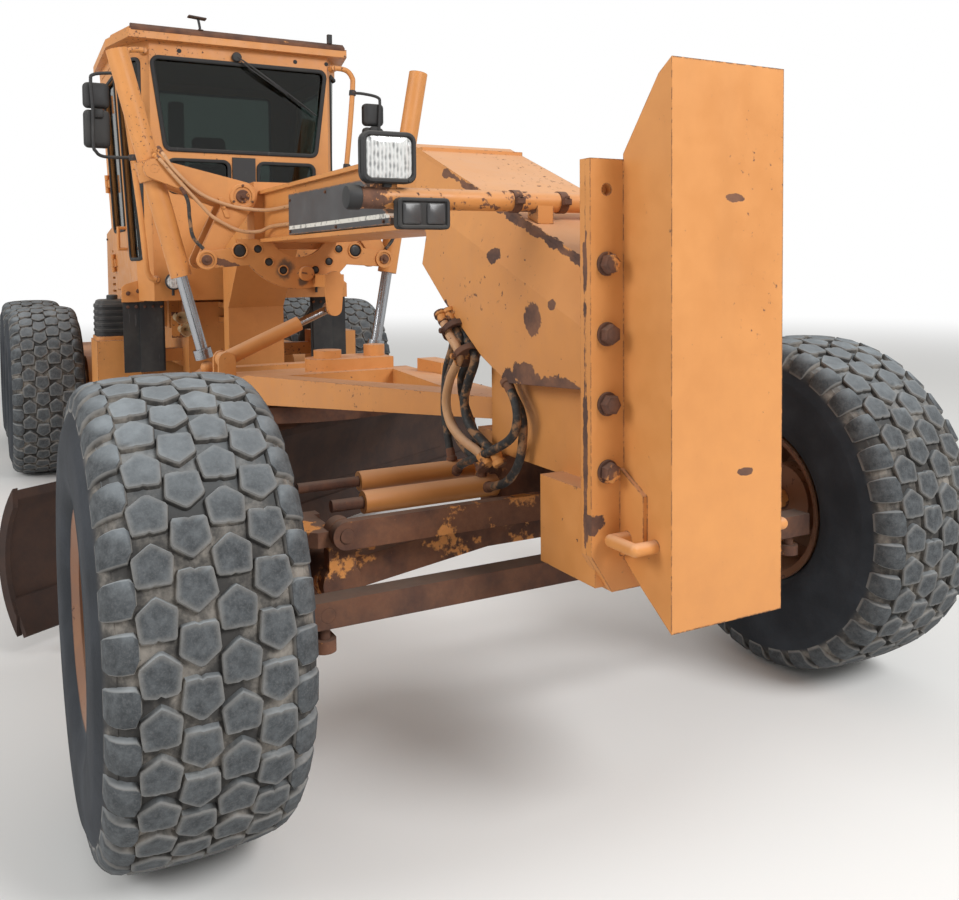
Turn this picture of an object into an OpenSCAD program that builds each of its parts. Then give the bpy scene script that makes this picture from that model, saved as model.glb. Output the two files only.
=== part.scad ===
// Motor grader with a push block, millimetres.
// +X is forward, +Y is the machine's left, +Z is up, and the ground is at Z = 0.
// Every module draws from the point on the ground below the front axle.

/* [Overall] */
// Front axle to the middle of the tandems
wheelbase = 6559; // [6300:10:6800]
// Between the two axles of a tandem
tandem_spacing = 1656; // [1500:2:1760]
// Front axle to the face of the push block
front_reach = 972; // [900:2:1100]
// Front axle to the back of the rear bumper
rear_reach = 8420; // [8300:10:8600]
// Height over the cab roof
cab_top = 3400; // [3360:5:3460]

/* [Wheels] */
// Tyre diameter over the lugs
tyre_d = 1380; // [1300:2:1400]
// Tyre width
tyre_w = 553; // [480:1:570]
// Between the centre lines of a pair of wheels
track = 2617; // [2600:1:2660]
// Diameter of the rim flange
rim_d = 640; // [600:1:700]
// Depth of the grooves between the lugs
lug_h = 24; // [16:1:30]

/* [Front axle] */
// Half the distance between the lean pins
lean_pin_y = 800; // [780:1:810]
// Lean pin to the pin of the lean bar above it
lean_bar_rise = 165; // [155:1:175]
// Lean pin out to the kingpin
kingpin_out = 130; // [128:1:136]
// Reach of the steering arm ahead of the kingpin
steer_arm = 300; // [290:1:310]
// Diameter of the lean pins
lean_pin_d = 60; // [50:1:66]
// Diameter of the kingpins
kingpin_d = 50; // [40:1:56]
// Diameter of the wheel spindles
spindle_d = 90; // [80:1:96]

/* [Front frame] */
// Half width of the nose box
nose_half = 280; // [265:1:290]
// Half width of the main beam
beam_half = 200; // [180:1:210]
// Top of the main beam
beam_top = 2160; // [2140:5:2175]
// Bottom of the main beam
beam_bottom = 1840; // [1830:5:1850]
// Half width of the push block
block_half = 198; // [190:1:206]
// Top of the push block
block_top = 2230; // [2190:5:2260]
// Bottom of the push block
block_bottom = 710; // [700:5:720]
// Thickness of each bolting flange
flange_t = 25; // [20:1:27]
// Articulation pin behind the front axle
hitch_back = 4400; // [4390:1:4420]
// Diameter of the articulation pins
hitch_pin_d = 90; // [80:1:96]

/* [Blade] */
// Centre of the circle behind the front axle
circle_back = 3000; // [2980:5:3020]
// Outer radius of the circle
circle_r = 850; // [830:5:870]
// Angle at which the blade is parked
blade_angle = 31; // [29:0.5:33]
// Length of the blade
blade_len = 3962; // [3900:1:4000]
// Height of the blade along its curve
blade_h = 686; // [670:1:690]
// Thickness of the blade
blade_t = 25; // [20:1:28]
// Radius of the blade's curve
blade_r = 500; // [470:5:540]
// Height of the drawbar ball
ball_z = 1150; // [1145:1:1160]

/* [Lift cylinders] */
// Outside diameter of a lift barrel
lift_barrel_d = 125; // [115:1:130]
// Diameter of a lift rod
lift_rod_d = 70; // [60:1:76]
// Lean of the right lift cylinder from upright
lift_tilt_right = 14.2; // [13.5:0.1:14.8]
// Lean of the left lift cylinder from upright
lift_tilt_left = 10.5; // [10:0.1:11.5]

/* [Cab] */
// Front of the cab behind the front axle
cab_front_back = 4165; // [4155:1:4180]
// Length of the cab
cab_len = 1385; // [1360:5:1400]
// Half width of the cab at its floor
cab_half_low = 740; // [725:1:750]
// Half width of the cab under its roof
cab_half_high = 830; // [815:1:845]
// Wall thickness of the cab
cab_wall = 45; // [35:1:55]
// Gap round each door
door_gap = 6; // [5:1:9]

/* [Hidden] */
$fn = 64;
axle_z = tyre_d / 2;
front_axle_x = (rear_reach - front_reach) / 2;
tandem_front_x = -(wheelbase - tandem_spacing / 2);
tandem_rear_x = -(wheelbase + tandem_spacing / 2);
fit = 0.05;
spindle_end = 20;
seat_gap = 0.3;
hitch_x = -hitch_back;
circle_x = -circle_back;
cab_x = -cab_front_back;
sides = [-1, 1];

// Plates and rods

// An outline of [x, z] points between two values of y
module plate_xz(y0, y1) {
  translate([0, y1, 0]) rotate([90, 0, 0]) linear_extrude(y1 - y0) children();
}

// An outline of [y, z] points between two values of x
module plate_yz(x0, x1) {
  translate([x0, 0, 0]) rotate([90, 0, 90]) linear_extrude(x1 - x0) children();
}

// An outline of [x, y] points between two heights
module plate_xy(z0, z1) {
  translate([0, 0, z0]) linear_extrude(z1 - z0) children();
}

// A box between two corners
module block(a, b) {
  translate(a) cube(b - a);
}

// A round bar between two points
module rod(p, q, d) {
  v = q - p;
  l = norm(v);
  translate(p) rotate([0, acos(v[2] / l), atan2(v[1], v[0])]) cylinder(d = d, h = l);
}

// A flat link with round ends of radius rp and rq
module link(p, q, rp, rq) {
  v = q - p;
  u = v / norm(v);
  s = (rp - rq) / norm(v) * u;
  c = sqrt(1 - s * s) * [-u[1], u[0]];
  translate(p) circle(r = rp);
  translate(q) circle(r = rq);
  polygon([p + rp * (s + c), q + rq * (s + c), q + rq * (s - c), p + rp * (s - c)]);
}

// A rectangle with round corners between two corners
module rounded(a, b, r) {
  translate([a[0] + r, a[1]]) square([b[0] - a[0] - 2 * r, b[1] - a[1]]);
  translate([a[0], a[1] + r]) square([b[0] - a[0], b[1] - a[1] - 2 * r]);
  for (x = [a[0] + r, b[0] - r], y = [a[1] + r, b[1] - r]) translate([x, y]) circle(r = r);
}

// Draws the right hand form on the side that is asked for
module on_side(side) {
  mirror([0, side > 0 ? 1 : 0, 0]) children();
}

// Draws the right hand form on both sides
module both_sides() {
  for (side = sides) on_side(side) children();
}

module from_axle() {
  translate([front_axle_x, 0, 0]) children();
}

// Rear frame, the fixed body

rail_z = [900, 1180];
rail_y = [270, 350];
rear_plate = 120;
frame_front_x = hitch_x - 160;
hood_x = [-8330, -5620];
hood_half = 480;
hood_foot = 1250;
hood_top = 2240;
hood_wall = 30;
louvre_x = [-7900, -7150, -6400];
louvre_len = 560;
engine_x = [-7350, -5900];
engine_half = 300;
hitch_lug_z = [[880, 940], [1310, 1370]];
hitch_fork_t = 45;
hitch_play = 5;
case_half = 250;
axle_tube_d = 420;
box_x = [tandem_front_x + tyre_d / 2 + 80, tandem_front_x + tyre_d / 2 + 480];
box_y = [700, 1010];
case_y = [track / 2 - tyre_w / 2 - 260, track / 2 - tyre_w / 2 - 50];
cab_floor = 1450;
roof_t = 100;
cab_eaves = cab_top - roof_t;
cab_back = cab_x - cab_len;

module rear_frame() color("orange") {
  both_sides() {
    block([-rear_reach + rear_plate - 1, -rail_y[1], rail_z[0]],
      [frame_front_x - 200, -rail_y[0], rail_z[1]]);
    block([box_x[0] + 60, -box_y[0], 950], [box_x[0] + 140, -rail_y[1] + 1, 1050]);
  }
  block([frame_front_x - 260, -rail_y[1], 820], [frame_front_x, rail_y[1], 1420]);
  block([-rear_reach, -560, 800], [-rear_reach + rear_plate, 560, hood_foot]);
  for (x = [-5200, -7900])
    block([x - 60, -rail_y[0] - 1, 960], [x + 60, rail_y[0] + 1, 1120]);
  for (x = [hood_x[0] + 80, hood_x[1] - 80])
    block([x - 60, -hood_half, rail_z[1] - 1], [x + 60, hood_half, hood_foot]);
  for (x = [cab_back + 120, frame_front_x - 130]) both_sides()
    block([x - 50, -rail_y[1], rail_z[1] - 1], [x + 50, -rail_y[0], cab_floor]);
  for (lug = hitch_lug_z) for (z = [lug[0] - hitch_play - hitch_fork_t, lug[1] + hitch_play])
    plate_xy(z, z + hitch_fork_t) {
      translate([hitch_x, 0]) circle(r = 120);
      translate([frame_front_x - 1, -120]) square([-frame_front_x + hitch_x + 1, 240]);
    }
  for (lug = hitch_lug_z) translate([hitch_x, 0, lug[0] - hitch_play - 1])
    cylinder(d = hitch_pin_d, h = lug[1] - lug[0] + 2 * hitch_play + 2);
  rod([-wheelbase, -case_y[0], axle_z], [-wheelbase, case_y[0], axle_z], axle_tube_d);
  both_sides() block([-wheelbase - 200, -rail_y[1], axle_z + 150],
    [-wheelbase + 200, -rail_y[0], rail_z[0] + 1]);
}

// Tandem cases with their wheel hubs

module tandems() color("orange") both_sides() {
  plate_xz(-case_y[1], -case_y[0])
    link([tandem_front_x, axle_z], [tandem_rear_x, axle_z], case_half, case_half);
  for (x = [tandem_front_x, tandem_rear_x]) {
    rod([x, -case_y[1] + 1, axle_z], [x, -case_y[1] - 90, axle_z], 260);
    rod([x, -case_y[1] + 1, axle_z], [x, -track / 2 - spindle_end, axle_z], spindle_d);
  }
}

module engine_block() color("dimgray")
  block([engine_x[0], -engine_half, rail_z[1]], [engine_x[1], engine_half, 1980]);

module hood() color("orange") difference() {
  plate_xz(-hood_half, hood_half) hood_outline(0);
  translate([0, 0, -10]) plate_xz(-hood_half + hood_wall, hood_half - hood_wall) hood_outline(hood_wall);
  for (x = louvre_x, i = [0 : 6]) plate_xz(-hood_half - 1, hood_half + 1)
    translate([x, hood_foot + 180 + i * 70]) square([louvre_len, 24]);
  for (i = [0 : 9]) plate_yz(hood_x[0] - 1, hood_x[0] + hood_wall + 1)
    translate([-380, hood_foot + 80 + i * 72]) square([760, 36]);
}

// The hood seen from the side, with its walls and its top moved in by t
module hood_outline(t) polygon([
  [hood_x[0] + t, hood_foot], [hood_x[1] - t, hood_foot], [hood_x[1] - t, hood_top - t],
  [-7000, hood_top - t], [hood_x[0] + t, hood_top - 180 - t],
]);

module stacks() color("black") {
  rod([-6750, 0, hood_top], [-6750, 0, 3300], 150);
  rod([-6100, -180, hood_top], [-6100, -180, 2640], 240);
}

module side_boxes() color("orange") both_sides() {
  block([box_x[0], -box_y[1], 800], [box_x[1], -box_y[0], 1150]);
}

// Cab shell

// The cab's section across, with its walls moved in by t
module cab_section(t) polygon([
  [-cab_half_low + t, cab_floor + t], [cab_half_low - t, cab_floor + t],
  [cab_half_high - t, cab_eaves - t], [-cab_half_high + t, cab_eaves - t],
]);

module cab_form(t) intersection() {
  plate_yz(cab_back + t, cab_x - t) cab_section(t);
  plate_xy(cab_floor - 10, cab_eaves + 10) polygon([
    [cab_back, -900], [cab_x - 430 - t, -900], [cab_x - t * 0.4, -660 + t], [cab_x, -600],
    [cab_x, 600], [cab_x - t * 0.4, 660 - t], [cab_x - 430 - t, 900], [cab_back, 900],
  ]);
}

module cab_shell() difference() {
  cab_form(0);
  cab_form(cab_wall);
}

door_x = [cab_back + 110, cab_x - 480];
door_z = [cab_floor + 60, cab_eaves - 70];
hinge_out = 22;
hinge_d = 32;
hinge_pin_d = 14;
hinge_h = 60;
hinge_z = [250, 900, 1550];

// The door's outline seen from the side, moved in by t
module door_outline(t) translate([door_x[0] + t, door_z[0] + t])
  square([door_x[1] - door_x[0] - 2 * t, door_z[1] - door_z[0] - 2 * t]);

// The line that a door hangs on, outside the wall and leaning as the wall does
module at_hinge() {
  translate([door_x[0] + door_gap / 2, -cab_half_low - hinge_out, cab_floor])
    rotate([atan2(cab_half_high - cab_half_low, cab_eaves - cab_floor), 0, 0]) children();
}

module hinge_leaf(z, h, reach) translate([0, 0, z]) {
  cylinder(d = hinge_d, h = h);
  block([min(0, reach), 6, 0], [max(0, reach), hinge_out + 2, h]);
}

module cab_body() color("orange") {
  cab_frame();
  both_sides() at_hinge() for (z = hinge_z) {
    hinge_leaf(z - 42, 40, -60);
    hinge_leaf(z + hinge_h + 2, 40, -60);
    translate([0, 0, z - 10]) cylinder(d = hinge_pin_d, h = hinge_h + 20);
  }
}

shield_z = [cab_floor + 1085, cab_eaves - 110];
low_window_z = [cab_floor + 780, shield_z[0] - 66];
window_r = 50;

// Every window opening of the cab, as prisms that run through its walls
module cab_windows() {
  plate_yz(cab_x - 200, cab_x + 50) shield_outline();
  for (s = sides) plate_yz(cab_x - 200, cab_x + 50) translate([s * 325, 0])
    rounded([-220, low_window_z[0]], [220, low_window_z[1]], window_r);
  both_sides() plate_xz(-900, -300)
    rounded([door_x[1] + 60, cab_floor + 300], [cab_x - 90, shield_z[1]], window_r);
  plate_yz(cab_back - 50, cab_back + 200)
    rounded([-600, low_window_z[0]], [600, shield_z[1]], window_r);
}

// The windscreen, wider at its top, with round corners
module shield_outline() {
  low = [560 - window_r, shield_z[0] + window_r];
  high = [650 - window_r, shield_z[1] - window_r];
  both_sides_flat() {
    link(low, high, window_r, window_r);
    link(low, [0, low[1]], window_r, window_r);
    link(high, [0, high[1]], window_r, window_r);
  }
  polygon([[-low[0], low[1]], low, high, [-high[0], high[1]]]);
}

module cab_frame() difference() {
  cab_shell();
  both_sides() plate_xz(-950, -300) door_outline(0);
  cab_windows();
}

module cab_roof() color("orange") {
  plate_xy(cab_eaves, cab_top - 40) polygon([
    [cab_back - 60, -870], [cab_x - 380, -900], [cab_x + 60, -800], [cab_x + 60, 800],
    [cab_x - 380, 900], [cab_back - 60, 870],
  ]);
  plate_xy(cab_top - 41, cab_top) polygon([
    [cab_back - 20, -830], [cab_x - 400, -860], [cab_x + 10, -765], [cab_x + 10, 765],
    [cab_x - 400, 860], [cab_back - 20, 830],
  ]);
}

module cab_glass() color("lightgreen", 0.4) intersection() {
  difference() {
    cab_form(20);
    cab_form(26);
  }
  cab_windows();
}

module door(side) color("orange") on_side(side) difference() {
  union() {
    intersection() {
      cab_shell();
      plate_xz(-950, 0) door_outline(door_gap);
    }
    at_hinge() for (z = hinge_z) hinge_leaf(z, hinge_h, 70);
    at_handle() {
      rod([0, 0, -90], [0, 0, 90], 24);
      for (z = [-80, 80]) rod([0, 0, z], [0, 60, z], 24);
    }
  }
  plate_xz(-950, 0) door_window();
  at_hinge() translate([0, 0, hinge_z[0] - 50])
    cylinder(d = hinge_pin_d + 2 * fit, h = hinge_z[2] + 200);
}

// Just outside the door's lower panel, near the edge that opens
module at_handle() translate([
  door_x[1] - 70, -cab_half_low - 60 - (cab_half_high - cab_half_low) * 0.25,
  cab_floor + (cab_eaves - cab_floor) * 0.25,
]) children();

module door_window() rounded(
  [door_x[0] + 90, low_window_z[0] - 250], [door_x[1] - 90, door_z[1] - 90], window_r);

module door_glass(side) color("lightgreen", 0.4) on_side(side) intersection() {
  difference() {
    cab_form(20);
    cab_form(26);
  }
  plate_xz(-950, 0) door_window();
}

seat_x = cab_x - 860;

module seat() color("black") {
  rod([seat_x, 0, cab_floor + cab_wall], [seat_x, 0, 1850], 240);
  block([seat_x - 240, -260, 1849], [seat_x + 260, 260, 1990]);
  plate_xz(-240, 240) polygon([
    [seat_x - 240, 1980], [seat_x - 120, 1980], [seat_x - 210, 2560], [seat_x - 330, 2560],
  ]);
  plate_xz(-150, 150) polygon([
    [seat_x - 240, 2600], [seat_x - 300, 2559], [seat_x - 320, 2559], [seat_x - 350, 2780],
    [seat_x - 260, 2800],
  ]);
}

module console() color("dimgray") {
  plate_xz(-110, 110) polygon([
    [cab_x - 420, cab_floor + cab_wall], [cab_x - 150, cab_floor + cab_wall],
    [cab_x - 170, 2300], [cab_x - 330, 2380],
  ]);
  translate([cab_x - 390, 0, 2400]) rotate([0, -25, 0])
    rotate_extrude() translate([190, 0]) circle(d = 30);
  translate([cab_x - 390, 0, 2400]) rotate([0, -25, 0]) {
    cylinder(d = 90, h = 40, center = true);
    block([-190, -14, -10], [190, 14, 10]);
  }
  rod([cab_x - 385, 0, 2390], [cab_x - 300, 0, 2200], 70);
  block([cab_x, -85, low_window_z[0] - 40], [cab_x + 14, 85, low_window_z[1] + 30]);
}

mirror_x = cab_x + 45;
mirror_z = [cab_eaves - 780, cab_eaves - 335];

module mirrors() color("black") both_sides() {
  block([mirror_x - 30, -1100, mirror_z[0]], [mirror_x + 30, -940, mirror_z[1]]);
  rod([mirror_x, -780, mirror_z[0] + 180], [mirror_x, -780, cab_eaves], 30);
  for (z = [mirror_z[0] + 200, mirror_z[1] - 65]) rod([mirror_x, -780, z], [mirror_x, -950, z], 24);
}

module mud_flaps() color("black") both_sides()
  block([cab_x - 200, -850, 930], [cab_x - 190, -640, cab_floor]);

// Front frame

flange_x = 740;
pivot_z = 975;
pivot_d = 90;
pivot_front_x = 450;
pivot_rear_x = [-200, -130];
column_z = 1040;
ball_x = -150;
ball_d = 110;
leg_x = [-4035, -3890];
nose_back = -400;
plate_t = 22;
plate_half = beam_half + 30;
nose_plate = 14;
nose_top = [[-600, 2170], [flange_x, 1650]];

module front_frame() color("orange") difference() {
  union() {
    plate_xz(-beam_half, beam_half) beam_outline();
    beam_flanges();
    difference() {
      plate_xz(-nose_half, nose_half) nose_outline();
      both_sides() nose_corner();
    }
    plate_xz(-plate_half, plate_half) polygon([
      nose_top[0] + [-20, 0], nose_top[0] + [-20, nose_plate], nose_top[0] + [0, nose_plate],
      nose_top[1] + [0, nose_plate], nose_top[1],
    ]);
    block([0, -beam_half, column_z], [flange_x, beam_half, 1400]);
    block([pivot_front_x, -nose_half, 780], [flange_x, nose_half, 1050]);
    block([pivot_rear_x[0], -150, 840], [pivot_rear_x[1], 150, column_z + 10]);
    block([pivot_rear_x[0], -150, column_z], [1, 150, column_z + 50]);
    block([ball_x, -90, column_z + 40], [1, 90, ball_z + 90]);
    plate_yz(flange_x - flange_t, flange_x) flange_outline();
    for (lug = hitch_lug_z) plate_xy(lug[0], lug[1]) {
      translate([hitch_x, 0]) circle(r = 110);
      translate([hitch_x, -110]) square([leg_x[0] - hitch_x + 1, 220]);
    }
  }
  translate([hitch_x, 0, 800]) cylinder(d = hitch_pin_d + 2 * fit, h = 700);
  translate([ball_x, 0, ball_z]) sphere(d = ball_d + 2 * fit);
  rod([pivot_rear_x[0] - 1, 0, pivot_z], [pivot_rear_x[1] + 1, 0, pivot_z], pivot_d + 2 * fit);
  rod([pivot_front_x - 1, 0, pivot_z], [pivot_front_x + 151, 0, pivot_z], pivot_d + 2 * fit);
}

module beam_outline() polygon([
  [leg_x[0], beam_top - 200], [leg_x[0] + 130, beam_top], [-500, beam_top],
  [-500, beam_bottom], [leg_x[1] + 400, beam_bottom], [leg_x[1], 1400],
  [leg_x[1], 860], [leg_x[0], 860],
]);

// The edges of the plates above and below the beam, wider than the beam
module beam_flanges() {
  block([leg_x[0] + 130, -plate_half, beam_top - plate_t], [-500, plate_half, beam_top]);
  block([saddle_front, -plate_half - 15, beam_bottom], [nose_back, plate_half + 15, beam_bottom + plate_t]);
}

module nose_outline() polygon([
  nose_top[0], nose_top[1], [flange_x, 1340], [250, 1310], [70, 1385], [-210, 1560],
  [nose_back, 1700], [nose_back + 40, beam_bottom - 30], [nose_back - 30, 1930],
]);

// Takes the upper edge of the nose away, from the side plate to just under the top plate
module nose_corner() {
  drop = 160;
  run = nose_half - plate_half + 2;
  slope = atan2(nose_top[1][1] - nose_top[0][1], nose_top[1][0] - nose_top[0][0]);
  translate([nose_top[0][0], -nose_half, nose_top[0][1] - drop]) rotate([0, -slope, 0])
    rotate([-atan2(run, drop * cos(slope)), 0, 0]) translate([-400, -200, 0]) cube([2400, 200, 400]);
}

module flange_outline() polygon([
  [-310, 880], [-240, 770], [240, 770], [310, 880], [310, 1985], [-310, 1985],
]);

module push_block() color("orange") difference() {
  union() {
    plate_yz(flange_x, flange_x + flange_t) flange_outline();
    plate_xz(-block_half, block_half) polygon([
      [flange_x + flange_t - 1, 860], [830, 808], [front_reach, block_bottom],
      [front_reach, block_top], [918, block_top - 35], [flange_x + flange_t - 1, 2000],
    ]);
    plate_xz(-block_half - 14, -block_half + 1) polygon([
      [flange_x + flange_t - 1, 1120], [870, 1060], [870, 900], [flange_x + flange_t - 1, 870],
    ]);
    both_sides() {
      for (z = bolt_z)
        rod([flange_x + flange_t - 1, -bolt_y, z], [flange_x + flange_t + 22, -bolt_y, z], 44);
      tow_hook();
    }
  }
  for (s = sides)
    rod([flange_x - 1, s * bolt_y, spare_hole_z], [flange_x + flange_t + 1, s * bolt_y, spare_hole_z], 32);
}

// A hook bent from round bar on the side of the block
module tow_hook() {
  rod([800, -block_half + 5, hook_z], [800, -block_half - 70, hook_z], hook_d);
  rod([800, -block_half - 70, hook_z], [905, -block_half - 70, hook_z], hook_d);
  rod([905, -block_half - 70, hook_z], [905, -block_half + 5, hook_z], hook_d);
  for (x = [800, 905]) translate([x, -block_half - 70, hook_z]) sphere(d = hook_d);
}

bolt_y = 255;
bolt_z = [1115, 1305, 1500, 1695];
spare_hole_z = 1900;
hook_z = 930;
hook_d = 36;

bar_x = 300;
bar_z = 1895;
bar_d = 65;
lamp_z = 1935;

// Height of the nose box's top at x
function nose_z(x) = nose_top[0][1] + (x - nose_top[0][0]) *
  (nose_top[1][1] - nose_top[0][1]) / (nose_top[1][0] - nose_top[0][0]);

module light_bar() color("orange") {
  rod([bar_x, -830, bar_z], [bar_x, 830, bar_z], bar_d);
  both_sides() {
    plate_xz(-210, -150) polygon([
      for (dx = [-30, 30]) [bar_x + dx, nose_z(bar_x + dx) + nose_plate + 0.1],
      [bar_x + 30, bar_z], [bar_x - 30, bar_z],
    ]);
    block([bar_x - 20, -760, bar_z], [bar_x + 20, -690, lamp_z]);
  }
}

module headlamps() color("black") both_sides() {
  block([bar_x - 30, -810, lamp_z], [bar_x + 60, -640, lamp_z + 150]);
}

arm_pivot = [-340, 2120];
arm_low = [-569, 1734];
arm_x = circle_x;
// The rear and the front plate of each arm, and the index bar ahead of them
arm_plates = [[arm_x - 125, arm_x - 90], [arm_x + 90, arm_x + 125]];
index_x = [arm_x + 125, arm_x + 155];
saddle_front = index_x[1] + 5;
index_mid = [0, 1950];
index_r = 300;
trunnion_d = 50;
lift_ball_y = 548;
lift_ball_z = 1075;
lift_yoke_up = 1232;
shift_eye = [150, 1430];

function lift_tilt(side) = side < 0 ? lift_tilt_right : lift_tilt_left;

// Where a lift cylinder swings in its arm, as [y, z] on the right hand side
function yoke_at(side) =
  [-lift_ball_y, lift_ball_z] + lift_yoke_up * [-sin(lift_tilt(side)), cos(lift_tilt(side))];

module lift_arms() color("orange") {
  difference() {
    union() {
      block([arm_x - 85, -beam_half - 60, beam_bottom - 40],
        [arm_x + 85, beam_half + 60, beam_top + 55]);
      both_sides() {
        block([arm_x - 85, arm_pivot[0], 2060], [arm_x + 85, -beam_half, 2180]);
        rod([arm_plates[0][0], arm_pivot[0], arm_pivot[1]], [arm_plates[1][1], arm_pivot[0], arm_pivot[1]],
          150);
      }
      for (side = sides) on_side(side) for (p = arm_plates) plate_yz(p[0], p[1]) {
        link(arm_pivot, yoke_at(side), 90, 60);
        link(arm_pivot, arm_low, 90, 50);
      }
      plate_yz(index_x[0], index_x[1]) index_bar();
      block([index_x[0], shift_eye[0] - 60, 1562], [shift_bracket_x[1], shift_eye[0] + 60, 1640]);
      plate_yz(shift_bracket_x[0], shift_bracket_x[1]) link([shift_eye[0], 1600], shift_eye, 60, 45);
    }
    block([arm_x - 200, -beam_half, beam_bottom], [arm_x + 200, beam_half, beam_top]);
    beam_flanges();
    for (side = sides) on_side(side)
      rod([arm_x - 200, yoke_at(side)[0], yoke_at(side)[1]],
        [arm_x + 200, yoke_at(side)[0], yoke_at(side)[1]], trunnion_d + 2 * fit);
  }
}

module index_bar() difference() {
  union() {
    difference() {
      translate(index_mid) circle(r = index_r + 100);
      translate(index_mid) circle(r = index_r - 100);
      translate([-500, 1860]) square([1000, 500]);
    }
    both_sides_flat() link([-330, 1760], arm_low, 60, 50);
  }
  for (a = [-150 : 20 : -30]) translate(index_mid + index_r * [cos(a), sin(a)]) circle(d = 50);
}

// An outline and its mirror image across the middle
module both_sides_flat() {
  children();
  mirror([1, 0]) children();
}

// Front axle, its lean and its steering

// Front and rear cheeks of a lean yoke, from one value of x to another
cheek_x = [[-165, -115], [55, 105]];
axle_x = [-110, 50];
yoke_arm = [125, 175];
bar_x_front = [110, 150];
bar_pin_d = 45;
knuckle_half = 120;
steer_plate_z = [575, 612];
king_y = lean_pin_y + kingpin_out;
cross_pin_d = 44;
cross_stud_d = 36;
tie_half = 40;
lean_cyl = [0, 915, 76, 40];
hump_half = 190;
steer_cyl = [-170, 945, 70, 36];

module front_axle() color("sienna") {
  difference() {
    union() {
      plate_yz(axle_x[0], axle_x[1]) polygon([
        [-lean_pin_y, 640], [-250, 715], [250, 715], [lean_pin_y, 640], [lean_pin_y, 740],
        [250, 815], [hump_half, 815], [hump_half, pivot_z + 45], [-hump_half, pivot_z + 45],
        [-hump_half, 815], [-250, 815], [-lean_pin_y, 740],
      ]);
      both_sides() rod([axle_x[0], -lean_pin_y, axle_z], [axle_x[1], -lean_pin_y, axle_z], 140);
    }
    both_sides()
      rod([axle_x[0] - 1, -lean_pin_y, axle_z], [axle_x[1] + 1, -lean_pin_y, axle_z], lean_pin_d + 2 * fit);
  }
  rod([pivot_rear_x[0] + 5, 0, pivot_z], [pivot_front_x + 145, 0, pivot_z], pivot_d);
}

module lean_yoke(side) color("sienna") on_side(side) {
  rod([cheek_x[0][0], -lean_pin_y, axle_z], [cheek_x[1][1], -lean_pin_y, axle_z], lean_pin_d);
  rod([cheek_x[1][1] - 1, -lean_pin_y, axle_z + lean_bar_rise],
    [bar_x_front[1] + 4, -lean_pin_y, axle_z + lean_bar_rise], bar_pin_d);
  plate_yz(cheek_x[0][0], cheek_x[0][1]) {
    translate([-lean_pin_y, axle_z]) circle(r = 65);
    translate([-lean_pin_y - 80, axle_z - yoke_arm[1]]) square([80, 2 * yoke_arm[1]]);
  }
  plate_yz(cheek_x[1][0], cheek_x[1][1]) {
    translate([-lean_pin_y, axle_z]) circle(r = 65);
    translate([-lean_pin_y, axle_z + lean_bar_rise]) circle(r = 45);
    translate([-lean_pin_y - 45, axle_z]) square([90, lean_bar_rise]);
    translate([-lean_pin_y - 80, axle_z + yoke_arm[0]]) square([80, yoke_arm[1] - yoke_arm[0]]);
  }
  difference() {
    union() {
      plate_xy(axle_z + yoke_arm[0], axle_z + yoke_arm[1]) yoke_arm_outline(cheek_x[1][1]);
      plate_xy(axle_z - yoke_arm[1], axle_z - yoke_arm[0]) yoke_arm_outline(0);
    }
    translate([0, -king_y, axle_z - 200]) cylinder(d = kingpin_d + 2 * fit, h = 400);
  }
}

module yoke_arm_outline(front) {
  translate([0, -king_y]) circle(r = 60);
  translate([cheek_x[0][0], -lean_pin_y - 80]) square([front - cheek_x[0][0], 60]);
  polygon([[cheek_x[0][0], -lean_pin_y - 80], [0, -king_y - 60], [60, -king_y], [front, -lean_pin_y - 80]]);
}

module knuckle(side) color("sienna") on_side(side) difference() {
  translate([0, -king_y, 0]) {
    translate([0, 0, axle_z - yoke_arm[1]]) cylinder(d = kingpin_d, h = 2 * yoke_arm[1]);
    translate([0, 0, axle_z - knuckle_half]) cylinder(d = 95, h = 2 * knuckle_half);
    rod([0, 0, axle_z], [0, -track / 2 + king_y - spindle_end, axle_z], spindle_d);
    plate_xy(steer_plate_z[0], steer_plate_z[1]) {
      translate([0, -35]) square([steer_arm, 70]);
      translate([steer_arm, 0]) circle(r = 35);
    }
    if (side > 0) translate([steer_arm, 0, steer_plate_z[1] - 1]) cylinder(d = cross_stud_d, h = 60);
  }
  if (side < 0) translate([steer_arm, -king_y, steer_plate_z[0] - 1])
    cylinder(d = cross_stud_d + 2 * fit, h = 100);
}

module lean_bar() color("sienna") difference() {
  plate_yz(bar_x_front[0], bar_x_front[1]) {
    translate([-lean_pin_y, axle_z + lean_bar_rise - 45]) square([2 * lean_pin_y, 90]);
    for (s = sides) translate([s * lean_pin_y, axle_z + lean_bar_rise]) circle(r = 45);
  }
  both_sides() rod([bar_x_front[0] - 1, -lean_pin_y, axle_z + lean_bar_rise],
    [bar_x_front[1] + 1, -lean_pin_y, axle_z + lean_bar_rise], bar_pin_d + 2 * fit);
}

// A cross of an upright stud and a pin along X, for the right end of the tie rod
module tie_rod_end() color("sienna") translate([steer_arm, -king_y, 0]) {
  translate([0, 0, steer_plate_z[0]]) cylinder(d = cross_stud_d, h = axle_z - steer_plate_z[0]);
  rod([-tie_half, 0, axle_z], [tie_half, 0, axle_z], cross_pin_d);
}

module tie_rod() color("sienna") difference() {
  block([steer_arm - tie_half, -king_y - 70, axle_z - tie_half],
    [steer_arm + tie_half, king_y + 70, axle_z + tie_half]);
  rod([steer_arm - 50, -king_y, axle_z], [steer_arm + 50, -king_y, axle_z], cross_pin_d + 2 * fit);
  both_sides() block([steer_arm - 26, -king_y - 56, axle_z - 50],
    [steer_arm + 26, -king_y + 56, axle_z + 24]);
}

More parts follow.
